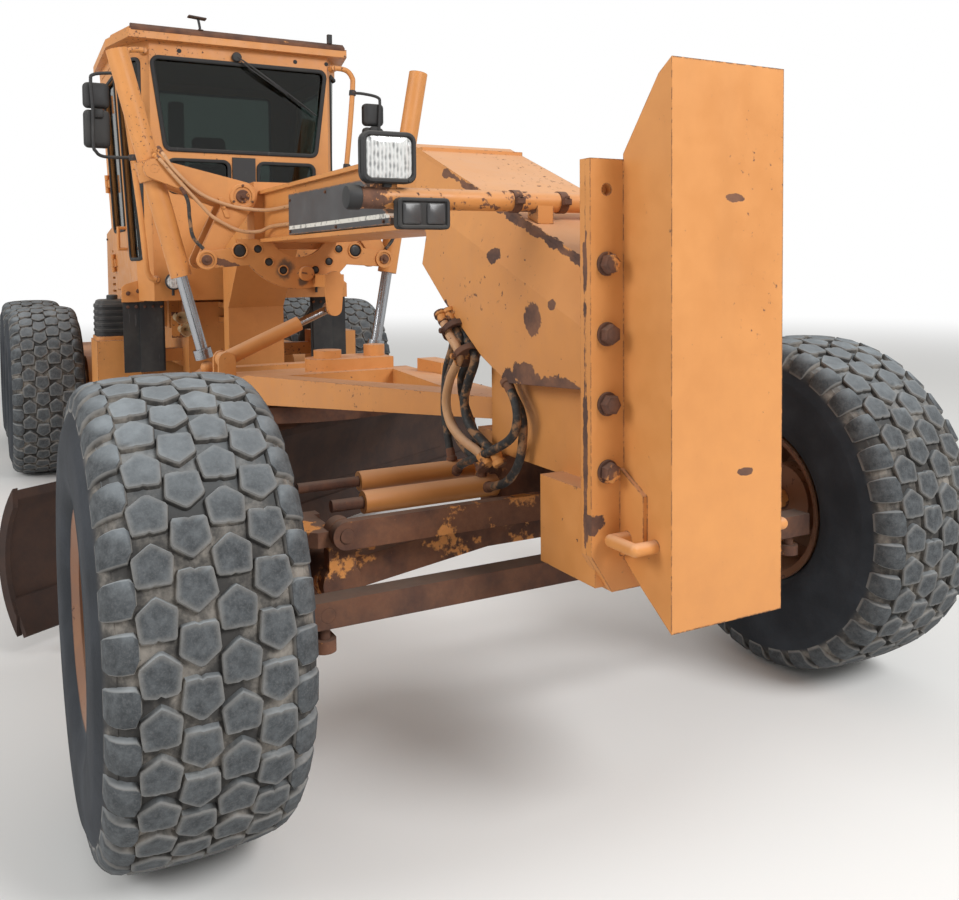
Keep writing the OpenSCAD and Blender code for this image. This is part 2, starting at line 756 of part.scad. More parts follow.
module lean_rod() color("silver")
  rod([lean_cyl[0], -lean_pin_y, lean_cyl[1]], [lean_cyl[0], -400, lean_cyl[1]], lean_cyl[3]);

module steer_rod(side) color("silver") on_side(side)
  rod([steer_cyl[0], -lean_pin_y - 60, steer_cyl[1]], [steer_cyl[0], -400, steer_cyl[1]], steer_cyl[3]);

// The barrels that the axle carries for the lean rod and the steer rods
module axle_barrels() color("orange") {
  difference() {
    rod([lean_cyl[0], -690, lean_cyl[1]], [lean_cyl[0], -hump_half, lean_cyl[1]], lean_cyl[2]);
    rod([lean_cyl[0], -700, lean_cyl[1]], [lean_cyl[0], -hump_half - 40, lean_cyl[1]],
      lean_cyl[3] + 2 * fit);
  }
  both_sides() difference() {
    union() {
      rod([steer_cyl[0], -640, steer_cyl[1]], [steer_cyl[0], -160, steer_cyl[1]], steer_cyl[2]);
      block([steer_cyl[0], -hump_half, steer_cyl[1] - 20], [axle_x[0], -160, steer_cyl[1] + 20]);
    }
    rod([steer_cyl[0], -650, steer_cyl[1]], [steer_cyl[0], -200, steer_cyl[1]], steer_cyl[3] + 2 * fit);
  }
}

// Wheels

crown_half = 205;
bead_half = 215;
bead_r = rim_d / 2 - 20;
lug_count = 26;
// Each row of lugs as its middle, its half width and its turn in pitches
lug_rows = [[-168, 62, 0], [0, 90, 0.5], [168, 62, 0]];
lug_gap = 0.2;
disc_z = [40, 66];
hub_r = 150;
hub_z = [-110, 84];

// Puts a wheel's axis on Z, with +Z outwards
module at_wheel(x, side) on_side(side)
  translate([x, -track / 2, axle_z]) rotate([90, 0, 0]) children();

// Half of the carcass, from the bead to the crown, as [radius, distance from the middle]
carcass = [
  [bead_r, bead_half - 25], [bead_r + 30, bead_half + 30], [bead_r + 90, tyre_w / 2 - 6],
  [bead_r + 150, tyre_w / 2], [bead_r + 230, tyre_w / 2 - 4], [tyre_d / 2 - 80, tyre_w / 2 - 20],
  [tyre_d / 2 - lug_h - 20, crown_half + 30], [tyre_d / 2 - lug_h, crown_half],
];

module tyre(x, side) color("black") at_wheel(x, side) {
  rotate_extrude() polygon([
    for (p = carcass) [p[0], -p[1]],
    for (i = [len(carcass) - 1 : -1 : 0]) carcass[i],
  ]);
  for (row = lug_rows) translate([0, 0, row[0] - row[1]]) linear_extrude(2 * row[1]) difference() {
    lug_ring(row[2] * 360 / lug_count);
    circle(r = tyre_d / 2 - lug_h - 30);
  }
}

// A row of lugs seen from the side, as a closed gear outline
module lug_ring(turn) polygon([
  for (i = [0 : lug_count - 1], k = [0, 1, 2, 3])
    let (
      r = k == 1 || k == 2 ? tyre_d / 2 : tyre_d / 2 - lug_h - 4,
      share = [lug_gap / 2, lug_gap / 2 + 0.04, 0.96 - lug_gap / 2, 1 - lug_gap / 2][k],
      angle = turn + (i + share) * 360 / lug_count
    ) r * [cos(angle), sin(angle)]
]);

module rim(x, side) color("orange") at_wheel(x, side) difference() {
  union() {
    rotate_extrude() polygon([
      [bead_r - seat_gap, -bead_half], [bead_r + 18, -bead_half - 22], [bead_r + 18, -bead_half - 34],
      [bead_r - 16, -bead_half - 12], [bead_r - 16, disc_z[0]], [230, disc_z[0]],
      [190, disc_z[0] + 40], [hub_r - 10, disc_z[0] + 40], [hub_r - 10, disc_z[1] + 40],
      [200, disc_z[1] + 40], [240, disc_z[1]],
      [bead_r - 16, disc_z[1]], [bead_r - 16, bead_half + 12], [bead_r + 18, bead_half + 34],
      [bead_r + 18, bead_half + 22], [bead_r - seat_gap, bead_half],
    ]);
    translate([0, 0, hub_z[0]]) cylinder(r = hub_r, h = disc_z[1] + 40 - hub_z[0] + 30);
    cylinder(r = 95, h = disc_z[1] + 110);
  }
  translate([0, 0, hub_z[0] - 1]) cylinder(d = spindle_d + 2 * fit, h = -hub_z[0] + spindle_end + 2);
}

// Drawbar, circle and blade

circle_z = [820, 910];
circle_ring = 120;
tooth_count = 64;
shoe_r = circle_r - circle_ring / 2;
frame_z = 930;
frame_back = -3730;
pinion_x = circle_x + circle_r - circle_ring - 70;
shoe_angles = [30, 150, 210, 330];
lift_ball_d = 80;
shift_pin_d = 40;
shift_rod_d = 50;
shift_foot = [-510, 1145];
shift_x = arm_x + 290;
shift_bracket_x = [shift_x + 60, shift_x + 90];
shift_lug_x = [50, 80];
tip_pin = [60, 400];
tip_pin_d = 50;
drop_arm_y = [600, 640];
carrier_y = [645, 690];
blade_mid = [700, 415];
blade_half_angle = blade_h / (2 * blade_r) * 180 / PI;
rail_heights = [260, 570];
edge_t = 20;
edge_h = 150;
edge_below = 30;
// Parked so that its right end stands as far out as its left end
blade_shift = -256.5 * tan(blade_angle);

module drawbar() color("orange") {
  translate([ball_x, 0, ball_z]) sphere(d = ball_d);
  intersection() {
    plate_xz(-760, 760) polygon([
      [ball_x - 30, ball_z - 40], [-2300, frame_z], [frame_back, frame_z],
      [frame_back, 1000], [-2600, 1030], [-2300, 1090], [ball_x - 30, ball_z + 40],
    ]);
    plate_xy(800, 1400) difference() {
      polygon([
        [ball_x - 30, -50], [-2700, -560], [circle_x - 160, -620], [frame_back, -430], [frame_back, 430],
        [circle_x - 160, 620], [-2700, 560], [ball_x - 30, 50],
      ]);
      polygon([[-800, -1], [-2100, -310], [-2100, 310], [-800, 1]]);
      translate([frame_back + 170, -320]) square([380, 640]);
    }
  }
  for (a = shoe_angles) translate([circle_x + shoe_r * cos(a), shoe_r * sin(a), circle_z[1] + seat_gap])
    cylinder(d = 90, h = 30);
  both_sides() {
    translate([arm_x, -lift_ball_y, lift_ball_z]) sphere(d = lift_ball_d);
    translate([arm_x, -lift_ball_y, 1000]) cylinder(d = 44, h = lift_ball_z - 1000);
    translate([arm_x, -lift_ball_y, 1020]) cylinder(d1 = 110, d2 = 60, h = 22);
  }
  for (x = [shift_x - shift_lug_x[1], shift_x + shift_lug_x[0]]) difference() {
    plate_yz(x, x + shift_lug_x[1] - shift_lug_x[0]) {
      translate(shift_foot) circle(r = 50);
      translate([shift_foot[0] - 50, 1000]) square([100, shift_foot[1] - 1000]);
    }
    rod([x - 1, shift_foot[0], shift_foot[1]], [x + 31, shift_foot[0], shift_foot[1]],
      shift_pin_d + 2 * fit);
  }
  drive_box();
}

// The gear drive of the circle, with its pinion inside the ring of teeth
module drive_box() {
  block([pinion_x - 150, 0, 1060], [pinion_x + 130, 360, 1160]);
  translate([pinion_x, 0, 1060]) cylinder(r = 130, h = 100);
  translate([pinion_x, 0, 1155]) cylinder(r = 80, h = 50);
  translate([pinion_x, 290, 1155]) cylinder(r = 62, h = 70);
  translate([pinion_x, 0, circle_z[0] + 10]) cylinder(r = 55, h = frame_z - circle_z[0]);
  block([-1850, 350, 1000], [-1550, 460, 1180]);
}

module blade_circle() color("saddlebrown") at_circle() {
  plate_xy(circle_z[0], circle_z[1]) difference() {
    circle(r = circle_r);
    ring_teeth();
  }
  both_sides() difference() {
    plate_xz(-drop_arm_y[1], -drop_arm_y[0]) {
      polygon([[-560, circle_z[0] + 1], [-60, 380], [120, 380], [100, 640], [-380, circle_z[0] + 1]]);
      translate(tip_pin) circle(r = 70);
    }
    rod([tip_pin[0], -drop_arm_y[1] - 1, tip_pin[1]], [tip_pin[0], -drop_arm_y[0] + 1, tip_pin[1]],
      tip_pin_d + 2 * fit);
    translate([0, 0, circle_z[0] - 60]) cylinder(r = circle_r - circle_ring, h = 200);
  }
  rod([-300, -drop_arm_y[0] - 1, 620], [-300, drop_arm_y[0] + 1, 620], 90);
}

// The inside of the circle, a closed outline with a tooth at every step
module ring_teeth() polygon([
  for (i = [0 : tooth_count - 1], k = [0, 1, 2, 3])
    (circle_r - circle_ring + (k == 1 || k == 2 ? 25 : 0)) *
    [cos((i + k * 0.25) * 360 / tooth_count), sin((i + k * 0.25) * 360 / tooth_count)]
]);

module at_circle() {
  translate([circle_x, 0, 0]) rotate([0, 0, blade_angle]) children();
}

module blade_carrier() color("saddlebrown") at_circle() {
  both_sides() {
    rod([tip_pin[0], -carrier_y[1], tip_pin[1]], [tip_pin[0], -drop_arm_y[0], tip_pin[1]], tip_pin_d);
    difference() {
      plate_xz(-carrier_y[1], -carrier_y[0]) {
        translate(tip_pin) circle(r = 70);
        polygon([[0, 440], [100, 640], [195, 640], [195, 190], [100, 190], [0, 360]]);
      }
      for (z = rail_heights) block([150, -carrier_y[1] - 1, z - 0.5], [250, -carrier_y[0] + 1, z + 60.5]);
    }
  }
  rod([165, -carrier_y[1], tip_pin[1] + 60], [165, carrier_y[1], tip_pin[1] + 60], 60);
}

module blade() color("saddlebrown") at_circle() translate([0, blade_shift, 0]) {
  plate_xz(-blade_len / 2, blade_len / 2) blade_arc(0, blade_t);
  for (z = rail_heights) block([150.5, -1500, z], [240, 1500, z + 60]);
  plate_xz(-blade_len / 2, blade_len / 2) at_edge() polygon([
    [-edge_t, -edge_below], [6, -edge_below], [6, edge_h / 2], [1, edge_h], [-edge_t / 2, edge_h],
    [-edge_t, edge_h - 10],
  ]);
  for (s = sides) plate_xz(s * blade_len / 2 - 12, s * blade_len / 2 + 12) blade_arc(-6, blade_t + edge_t);
}

// The curved section of the blade, between two depths from its back
module blade_arc(back, front) translate(blade_mid) difference() {
  circle(r = blade_r - back);
  circle(r = blade_r - front);
  translate([-blade_r * cos(blade_half_angle), -blade_r - 10]) square(2 * blade_r + 20);
}

// Puts the lower end of the blade's front face at the origin, with +Y up along that face
module at_edge() {
  inner = blade_r - blade_t;
  translate(blade_mid + inner * [-cos(blade_half_angle), -sin(blade_half_angle)])
    rotate(blade_half_angle - asin(edge_h / 2 / inner)) mirror([1, 0]) children();
}

// Lift and side shift cylinders

module along_lift(tilt) {
  translate([arm_x, -lift_ball_y, lift_ball_z]) rotate([tilt, 0, 0]) children();
}

module lift_barrel(side) color("orange") on_side(side) along_lift(lift_tilt(side)) difference() {
  union() {
    translate([0, 0, 580]) cylinder(d = lift_barrel_d, h = 1370);
    translate([0, 0, lift_yoke_up - 60]) cylinder(d = lift_barrel_d + 40, h = 120);
    rod([arm_plates[0][0] - arm_x, 0, lift_yoke_up], [arm_plates[1][1] - arm_x, 0, lift_yoke_up],
      trunnion_d);
  }
  translate([0, 0, 570]) cylinder(d = lift_rod_d + 2 * fit, h = 1330);
}

module lift_rod(side) color("silver") on_side(side) along_lift(lift_tilt(side)) {
  translate([0, 0, 60]) cylinder(d = 110, h = 60);
  translate([0, 0, 100]) cylinder(d = lift_rod_d, h = 1180);
}

module along_shift() {
  v = shift_eye - shift_foot;
  translate([shift_x, shift_foot[0], shift_foot[1]]) rotate([atan2(v[1], v[0]), 0, 0]) children();
}

module shift_barrel() color("orange") along_shift() {
  difference() {
    union() {
      rod([0, 0, 0], [0, 500, 0], 90);
      rod([-shift_lug_x[0] + 2, 0, 0], [shift_lug_x[0] - 2, 0, 0], 90);
    }
    rod([0, 60, 0], [0, 510, 0], shift_rod_d + 2 * fit);
  }
  rod([-shift_lug_x[1], 0, 0], [shift_lug_x[1], 0, 0], shift_pin_d);
}

module shift_rod() color("silver") along_shift() {
  rod([0, 230, 0], [0, 690, 0], shift_rod_d);
  rod([-30, 719, 0], [30, 719, 0], 80);
}

from_axle() rear_frame();
from_axle() tandems();
from_axle() engine_block();
from_axle() hood();
from_axle() stacks();
from_axle() side_boxes();
from_axle() cab_body();
from_axle() cab_roof();
from_axle() cab_glass();
from_axle() seat();
from_axle() console();
from_axle() mirrors();
from_axle() mud_flaps();
from_axle() front_frame();
from_axle() push_block();
from_axle() light_bar();
from_axle() headlamps();
from_axle() lift_arms();
from_axle() front_axle();
from_axle() axle_barrels();
from_axle() lean_yoke(-1);  // lean_yoke_right
from_axle() lean_yoke(1);  // lean_yoke_left
from_axle() knuckle(-1);  // knuckle_right
from_axle() knuckle(1);  // knuckle_left
from_axle() lean_bar();
from_axle() tie_rod_end();
from_axle() tie_rod();
from_axle() lean_rod();
from_axle() steer_rod(-1);  // steer_rod_right
from_axle() steer_rod(1);  // steer_rod_left
from_axle() tyre(0, -1);  // tyre_front_right
from_axle() tyre(0, 1);  // tyre_front_left
from_axle() tyre(tandem_front_x, -1);  // tyre_mid_right
from_axle() tyre(tandem_front_x, 1);  // tyre_mid_left
from_axle() tyre(tandem_rear_x, -1);  // tyre_rear_right
from_axle() tyre(tandem_rear_x, 1);  // tyre_rear_left
from_axle() rim(0, -1);  // rim_front_right
from_axle() rim(0, 1);  // rim_front_left
from_axle() rim(tandem_front_x, -1);  // rim_mid_right
from_axle() rim(tandem_front_x, 1);  // rim_mid_left
from_axle() rim(tandem_rear_x, -1);  // rim_rear_right
from_axle() rim(tandem_rear_x, 1);  // rim_rear_left
from_axle() drawbar();
from_axle() blade_circle();
from_axle() blade_carrier();
from_axle() blade();
from_axle() lift_barrel(-1);  // lift_barrel_right
from_axle() lift_barrel(1);  // lift_barrel_left
from_axle() lift_rod(-1);  // lift_rod_right
from_axle() lift_rod(1);  // lift_rod_left
from_axle() shift_barrel();
from_axle() shift_rod();
from_axle() door(-1);  // door_right
from_axle() door(1);  // door_left
from_axle() door_glass(-1);  // door_glass_right
from_axle() door_glass(1);  // door_glass_left
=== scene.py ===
import math
import random

import bmesh
import bpy
from mathutils import Matrix, Vector


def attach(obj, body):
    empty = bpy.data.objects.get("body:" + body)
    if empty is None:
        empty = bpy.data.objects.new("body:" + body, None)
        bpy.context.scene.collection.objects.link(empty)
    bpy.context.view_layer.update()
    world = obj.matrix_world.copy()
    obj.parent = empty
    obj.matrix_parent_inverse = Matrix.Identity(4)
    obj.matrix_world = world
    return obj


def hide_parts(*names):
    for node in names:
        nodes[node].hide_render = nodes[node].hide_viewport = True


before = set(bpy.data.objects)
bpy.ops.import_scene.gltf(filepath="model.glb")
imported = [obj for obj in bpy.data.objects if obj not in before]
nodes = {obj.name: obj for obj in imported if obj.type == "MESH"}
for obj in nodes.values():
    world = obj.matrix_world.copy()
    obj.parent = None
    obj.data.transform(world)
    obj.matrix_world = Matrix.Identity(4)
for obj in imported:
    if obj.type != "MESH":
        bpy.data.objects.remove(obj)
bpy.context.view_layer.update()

print("frame loaded,", len(nodes), "nodes")

axleX = 3.724  # the front axle, measured from the part's origin
track, wheelRadius = 2.617, 0.69
wheels = {"front": 0.0, "mid": -5.731, "rear": -7.387}
forward, sideways, upward = (1, 0, 0), (0, 1, 0), (0, 0, 1)


def at(x, y, z):  # a point given from the ground below the front axle
    return Vector((x + axleX, y, z))


# camera

view = {"eye": at(2.906, -1.801, 1.699), "look": (-0.8808, 0.4712, -0.0463), "roll": -0.507,
        "focal": 944.9, "wide": 959, "middleDown": 307.3, "high": 900, "sensor": 36}  # pixels, sensor in mm


def makeCamera():
    data = bpy.data.cameras.new("view")
    cam = bpy.data.objects.new("view", data)
    bpy.context.scene.collection.objects.link(cam)
    look = Vector(view["look"]).normalized()
    right = look.cross(Vector(upward)).normalized()
    top = right.cross(look)
    cos, sin = math.cos(math.radians(view["roll"])), math.sin(math.radians(view["roll"]))
    m = Matrix((right * cos + top * sin, top * cos - right * sin, -look)).transposed().to_4x4()
    m.translation = view["eye"]
    cam.matrix_world = m
    data.sensor_width = view["sensor"]
    data.lens = view["focal"] / view["wide"] * view["sensor"]
    data.shift_y = -(view["high"] / 2 - view["middleDown"]) / view["wide"]
    data.clip_start, data.clip_end = 0.05, 300
    bpy.context.scene.camera = cam


makeCamera()
bpy.context.scene.view_settings.view_transform = "Standard"


# shader values as plain expressions

sums = {"add": "ADD", "sub": "SUBTRACT", "mul": "MULTIPLY", "truediv": "DIVIDE"}


class Wire:  # one socket's value or colour, with arithmetic
    def __init__(self, finish, socket):
        self.finish, self.socket = finish, socket

    def isWide(self):  # a vector or a colour
        return self.socket.type in ("VECTOR", "RGBA")

    def work(self, operation, other, swap=False):
        pair = (other, self) if swap else (self, other)
        wide = isinstance(other, tuple) or any(isinstance(p, Wire) and p.isWide() for p in pair)
        if not wide:
            return self.finish.node("Math", {"operation": operation}, *pair)
        pair = [(p, p, p) if isinstance(p, (int, float)) else p for p in pair]
        return self.finish.node("VectorMath", {"operation": operation}, *pair)

    def high(self, other):
        return self.work("MAXIMUM", other)

    def ramp(self, a, b, low=0.0, high=1.0):  # smooth from low at a to high at b
        return self.finish.node("MapRange", {"interpolation_type": "SMOOTHSTEP", "clamp": True},
                                self, a, b, low, high)


for word, operation in sums.items():
    setattr(Wire, f"__{word}__", lambda self, other, name=operation: self.work(name, other))
    setattr(Wire, f"__r{word}__", lambda self, other, name=operation: self.work(name, other, True))


class Finish:  # one material and what its nodes are made with
    def __init__(self, name, rough=0.5, metal=0.0, **fixed):
        self.mat = bpy.data.materials.new(name)
        self.mat.use_nodes = True
        self.tree = self.mat.node_tree
        self.shader = self.tree.nodes["Principled BSDF"]
        for key, value in {"Roughness": rough, "Metallic": metal, **fixed}.items():
            self.set(key.replace("_", " "), value)
        self.place = self.node("TexCoord", {}, pick="Object")

    def set(self, name, value):
        self.plug(self.shader.inputs[name], value)

    def plug(self, socket, value):
        if isinstance(value, Wire):
            self.tree.links.new(value.socket, socket)
        elif socket.type == "RGBA" and len(value) == 3:
            socket.default_value = (*value, 1)
        else:
            socket.default_value = value

    def node(self, kind, settings, *values, pick=0, **named):
        made = self.tree.nodes.new("ShaderNode" + kind)
        for key, value in settings.items():
            setattr(made, key, value)
        for i, value in enumerate(values):
            self.plug(made.inputs[i], value)
        for key, value in named.items():
            self.plug(made.inputs[key], value)
        return Wire(self, made.outputs[pick])

    def noise(self, scale, detail=3.0, rough=0.55, stretch=None, seed=0.0):
        spot = self.place
        if stretch or seed:
            spot = spot * (stretch or (1, 1, 1)) + (seed, seed * 0.7, seed * 1.3)
        return self.node("TexNoise", {}, Vector=spot, Scale=scale, Detail=detail,
                         Roughness=rough)

    def waves(self, along, scale, distortion):
        return self.node("TexWave", {"wave_type": "BANDS", "bands_direction": along}, Vector=self.place,
                         Scale=scale, Distortion=distortion)

    def mix(self, share, a, b):
        made = self.tree.nodes.new("ShaderNodeMix")
        made.data_type = "RGBA"
        for socket, value in zip((0, 6, 7), (share, a, b)):
            self.plug(made.inputs[socket], value)
        return Wire(self, made.outputs[2])

    def length(self, of):
        return self.node("VectorMath", {"operation": "LENGTH"}, of, pick="Value")

    def dot(self, a, b):
        return self.node("VectorMath", {"operation": "DOT_PRODUCT"}, a, b, pick="Value")

    def lookingUp(self, a, b):  # 0 where a face's upward share is a, 1 where it is b
        facing = self.node("TexCoord", {}, pick="Normal")
        return self.node("SeparateXYZ", {}, facing, pick=2).ramp(a, b)

    def soft(self, radius):  # the normal with its edges rounded
        return self.node("Bevel", {"samples": 4}, Radius=radius)

    def edge(self, radius):  # 1 on sharp edges, 0 on flat ground
        flat = self.node("NewGeometry", {}, pick="Normal")
        return (1.0 - self.dot(self.soft(radius), flat)).ramp(0.01, 0.12)

    def done(self, colour, rough, height, strength, distance, radius=0.0):
        bump = self.node("Bump", {}, Strength=strength, Distance=distance, Height=height,
                         **({"Normal": self.soft(radius)} if radius else {}))
        for name, value in (("Base Color", colour), ("Roughness", rough), ("Normal", bump)):
            self.set(name, value)
        return self.mat


# finishes

orange = {"sun": (0.68, 0.298, 0.09), "shade": (0.545, 0.222, 0.062), "dust": (0.66, 0.44, 0.3),
          "rust": (0.12, 0.062, 0.045), "rustLight": (0.25, 0.11, 0.055), "primer": (0.3, 0.13, 0.055)}


def rustColour(f, scale=1.0):
    grain = f.noise(90 * scale, 5, rough=0.7)
    broad = f.noise(9 * scale, 3, seed=4.0)
    return f.mix(broad.ramp(0.35, 0.65), f.mix(grain, (0.055, 0.03, 0.024), orange["rust"]),
                 f.mix(grain, orange["rust"], orange["rustLight"]))


def distanceTo(f, centre, size):  # 1 on the border of an ellipsoid
    return f.length((f.place - tuple(at(*centre))) / size)


def distanceAlong(f, start, end):  # metres from a straight line between two points
    run = at(*end) - at(*start)
    rel = f.place - tuple(at(*start))
    t = f.node("Clamp", {}, f.dot(rel, tuple(run)) / run.length_squared, 0.0, 1.0)
    return f.length(rel - f.node("CombineXYZ", {}, t, t, t) * tuple(run))


# faded and chipped, with bare patches, bare strips and old grease at named places
def paintFinish(name, chips=0.5, patches=(), bands=(), dirt=0.5, edgeWear=0.6, base=None, stains=()):
    f = Finish(name, Specular_IOR_Level=0.4)
    tone = f.noise(0.9, 3).ramp(0.35, 0.7)
    small = f.noise(14, 4, seed=2.0).ramp(0.3, 0.75)
    sun, shade = base or (orange["sun"], orange["shade"])
    colour = f.mix(tone * 0.55 + small * 0.25, shade, sun)
    top = f.lookingUp(0.35, 0.95)
    colour = f.mix(top * (0.28 + 0.3 * f.noise(5, 4, seed=7.0)), colour, orange["dust"])
    streak = f.noise(7, 4, stretch=(1, 1, 0.12), seed=1.5).ramp(0.52, 0.8)
    colour = f.mix(streak * (0.28 * dirt), colour, (0.3, 0.15, 0.06))
    grime = f.noise(2.2, 5, seed=9.0, rough=0.65).ramp(0.56, 0.78)
    colour = f.mix(grime * (0.35 * dirt), colour, (0.2, 0.11, 0.06))
    spots = f.noise(46, 5, rough=0.6, seed=3.0)
    region = f.noise(1.7, 2, seed=5.0).ramp(0.45, 0.72)
    less = 0.05 * chips
    openChips = (spots + region * 0.1).ramp(0.735 - less, 0.765 - less)
    edgeChips = (f.edge(0.007) * edgeWear * 0.42 + spots + region * 0.12).ramp(0.83, 0.88)
    rust = openChips.high(edgeChips)
    ragged = f.noise(26, 5, rough=0.7, seed=6.0)
    spread = f.noise(6, 3, seed=12.0).ramp(0.35, 0.65)
    for centre, size in patches:
        rust = rust.high((distanceTo(f, centre, size) + (ragged - 0.5) * 1.3).ramp(1.02, 0.93))
    for start, end, width in bands:
        reach = distanceAlong(f, start, end) / width
        rust = rust.high((reach + (ragged - 0.5) * 2.2 + spread * 0.9).ramp(1.05, 0.95))
    halo = (spots + region * 0.1).ramp(0.68 - less, 0.76 - less)
    colour = f.mix(halo * 0.35, colour, orange["primer"])
    colour = f.mix(rust, colour, rustColour(f))
    oily = None
    for centre, size in stains:
        reach = distanceTo(f, centre, size) + (ragged - 0.5) * 0.9 + (spread - 0.5) * 0.3
        spot = reach.ramp(1.25, 0.65)
        oily = oily.high(spot) if oily else spot
    if oily:
        colour = f.mix(oily * 0.85, colour, (0.06, 0.055, 0.048))
    peel = f.noise(160, 2, seed=8.0)
    return f.done(colour, (0.42 + 0.16 * small + 0.1 * top).high(rust * 0.85),
                  peel * 0.05 + small * 0.12 - rust * 0.55 + ragged * rust * 0.5, 0.35, 0.004, 0.004)


def rustFinish(name, paintLeft=0.3, dark=0.0, dusty=0.4):
    f = Finish(name, Specular_IOR_Level=0.25)
    scale = f.noise(22, 6, rough=0.7, seed=1.0)
    colour = f.mix(scale.ramp(0.4, 0.7) * 0.5, rustColour(f, 0.7), (0.15, 0.062, 0.036))
    top = f.lookingUp(0.3, 0.95)
    colour = f.mix(top * dusty * (0.4 + 0.6 * f.noise(12, 4, seed=3.0)), colour, (0.2, 0.155, 0.125))
    less = 0.22 * paintLeft
    cover = f.noise(7, 6, rough=0.65, seed=5.0) + f.noise(1.3, 2, seed=6.0) * 0.35
    left = cover.ramp(0.78 - less, 0.83 - less)
    colour = f.mix(left, colour, f.mix(f.noise(30, 3), orange["shade"], orange["sun"]))
    # dark turns the whole finish towards near black; the blade uses it for painted shade, the shadow under
    # the machine
    colour = f.mix(dark, colour, (0.03, 0.022, 0.02))
    return f.done(colour, 0.86 - 0.3 * left, scale * 0.7 + left * 0.5, 0.5, 0.004, 0.004)


def blackFinish(name, tone=0.022, rough=0.5, dust=0.4, chips=0.0):
    f = Finish(name, Specular_IOR_Level=0.4)
    film = f.noise(6, 5, seed=2.0, rough=0.6)
    top = f.lookingUp(0.1, 0.95)
    colour = f.mix(film.ramp(0.35, 0.75) * dust * 0.5, (tone, tone, tone * 1.05), (0.1, 0.095, 0.085))
    colour = f.mix(top * dust * (0.3 + 0.7 * film), colour, (0.2, 0.185, 0.165))
    scuff = f.noise(40, 4, stretch=(1, 1, 0.15), seed=4.0).ramp(0.66, 0.74)
    colour = f.mix(scuff * 0.25, colour, (0.16, 0.16, 0.16))
    if chips:
        less = 0.1 * chips
        bare = (f.edge(0.006) * 0.4 + f.noise(30, 5, rough=0.65, seed=6.0)).ramp(0.8 - less, 0.85 - less)
        colour = f.mix(bare, colour, rustColour(f))
    return f.done(colour, rough + 0.25 * film, f.noise(120, 3) * 0.3 + scuff * 0.4, 0.25, 0.002, 0.003)


def chromeFinish():
    f = Finish("chromeRod", metal=1.0)
    oil = f.noise(9, 4, stretch=(1, 1, 0.4), seed=2.0).ramp(0.45, 0.75)
    dust = f.noise(60, 4, seed=5.0).ramp(0.5, 0.8)
    return f.done(f.mix(oil * 0.6, (0.38, 0.39, 0.41), (0.18, 0.17, 0.16)), 0.2 + 0.28 * oil + 0.15 * dust,
                  f.noise(220, 2, stretch=(1, 1, 0.05)), 0.12, 0.001)


def tyreFinish():  # "wear" is 0 in a groove, 1 on a block's top, about 0.7 along its edge, -1 on the side
    f = Finish("tyreRubber", Specular_IOR_Level=0.35)
    wear = f.node("Attribute", {"attribute_name": "wear"}, pick="Fac")
    coarse = f.noise(32, 6, rough=0.7, seed=1.0)
    fine = f.noise(170, 4, rough=0.7, seed=2.0)
    block = f.mix(coarse.ramp(0.3, 0.75), (0.038, 0.042, 0.046), (0.096, 0.105, 0.112))
    block = f.mix(fine.ramp(0.45, 0.75) * 0.5, block, (0.135, 0.14, 0.143))
    side = f.mix(f.noise(5, 5, seed=3.0).ramp(0.3, 0.8), (0.017, 0.02, 0.025), (0.036, 0.041, 0.05))
    dust = f.noise(9, 5, rough=0.65, seed=4.0).ramp(0.42, 0.72)
    groove = f.mix(dust, (0.045, 0.043, 0.041), (0.27, 0.245, 0.215))
    isEdge = wear.ramp(0.3, 0.62) * (1.0 - wear.ramp(0.72, 0.95))
    colour = f.mix(wear.ramp(0.45, 0.95), groove, block)
    colour = f.mix(isEdge * (0.3 + 0.55 * f.noise(24, 3, seed=6.0)), colour, (0.25, 0.245, 0.235))
    colour = f.mix(wear.ramp(-0.2, -0.8), colour, side)
    # painted sky light: the tyre's upward faces turn a pale bluish grey, varied by the dust noise
    colour = f.mix(f.lookingUp(0.45, 1.0) * (0.5 + 0.35 * dust), colour, (0.27, 0.3, 0.32))
    cuts = f.noise(70, 5, rough=0.75, seed=7.0)
    return f.done(colour, 0.78 + 0.15 * fine, coarse * 0.5 + cuts * 0.5, 0.55, 0.005)


# a green glass tint darkened with painted shade: the dark cab inside and the dark surroundings seen through
# the glass
def glassFinish(name, tintAndShadeBehind=(0.125, 0.16, 0.148), rough=0.03):
    f = Finish(name, Transmission_Weight=1.0, IOR=1.45, Specular_IOR_Level=0.5)
    film = f.noise(3, 4, seed=2.0).ramp(0.45, 0.8)
    f.set("Base Color", f.mix(film * 0.35, tintAndShadeBehind, tuple(0.85 * c for c in tintAndShadeBehind)))
    f.set("Roughness", rough + 0.1 * f.noise(8, 5, seed=3.0).ramp(0.55, 0.8))
    return f.mat


def wornHose():  # black rubber with the paint of the frame rubbed onto it
    f = Finish("hoseRubber", Specular_IOR_Level=0.3)
    wrap = f.noise(16, 5, rough=0.65, seed=2.0).ramp(0.5, 0.62)
    colour = f.mix(wrap * 0.75, (0.03, 0.029, 0.028), (0.36, 0.185, 0.085))
    colour = f.mix(f.noise(60, 4, seed=3.0).ramp(0.5, 0.8) * 0.4, colour, (0.16, 0.14, 0.12))
    return f.done(colour, 0.6 + 0.25 * wrap, f.noise(150, 3, seed=4.0), 0.3, 0.002)


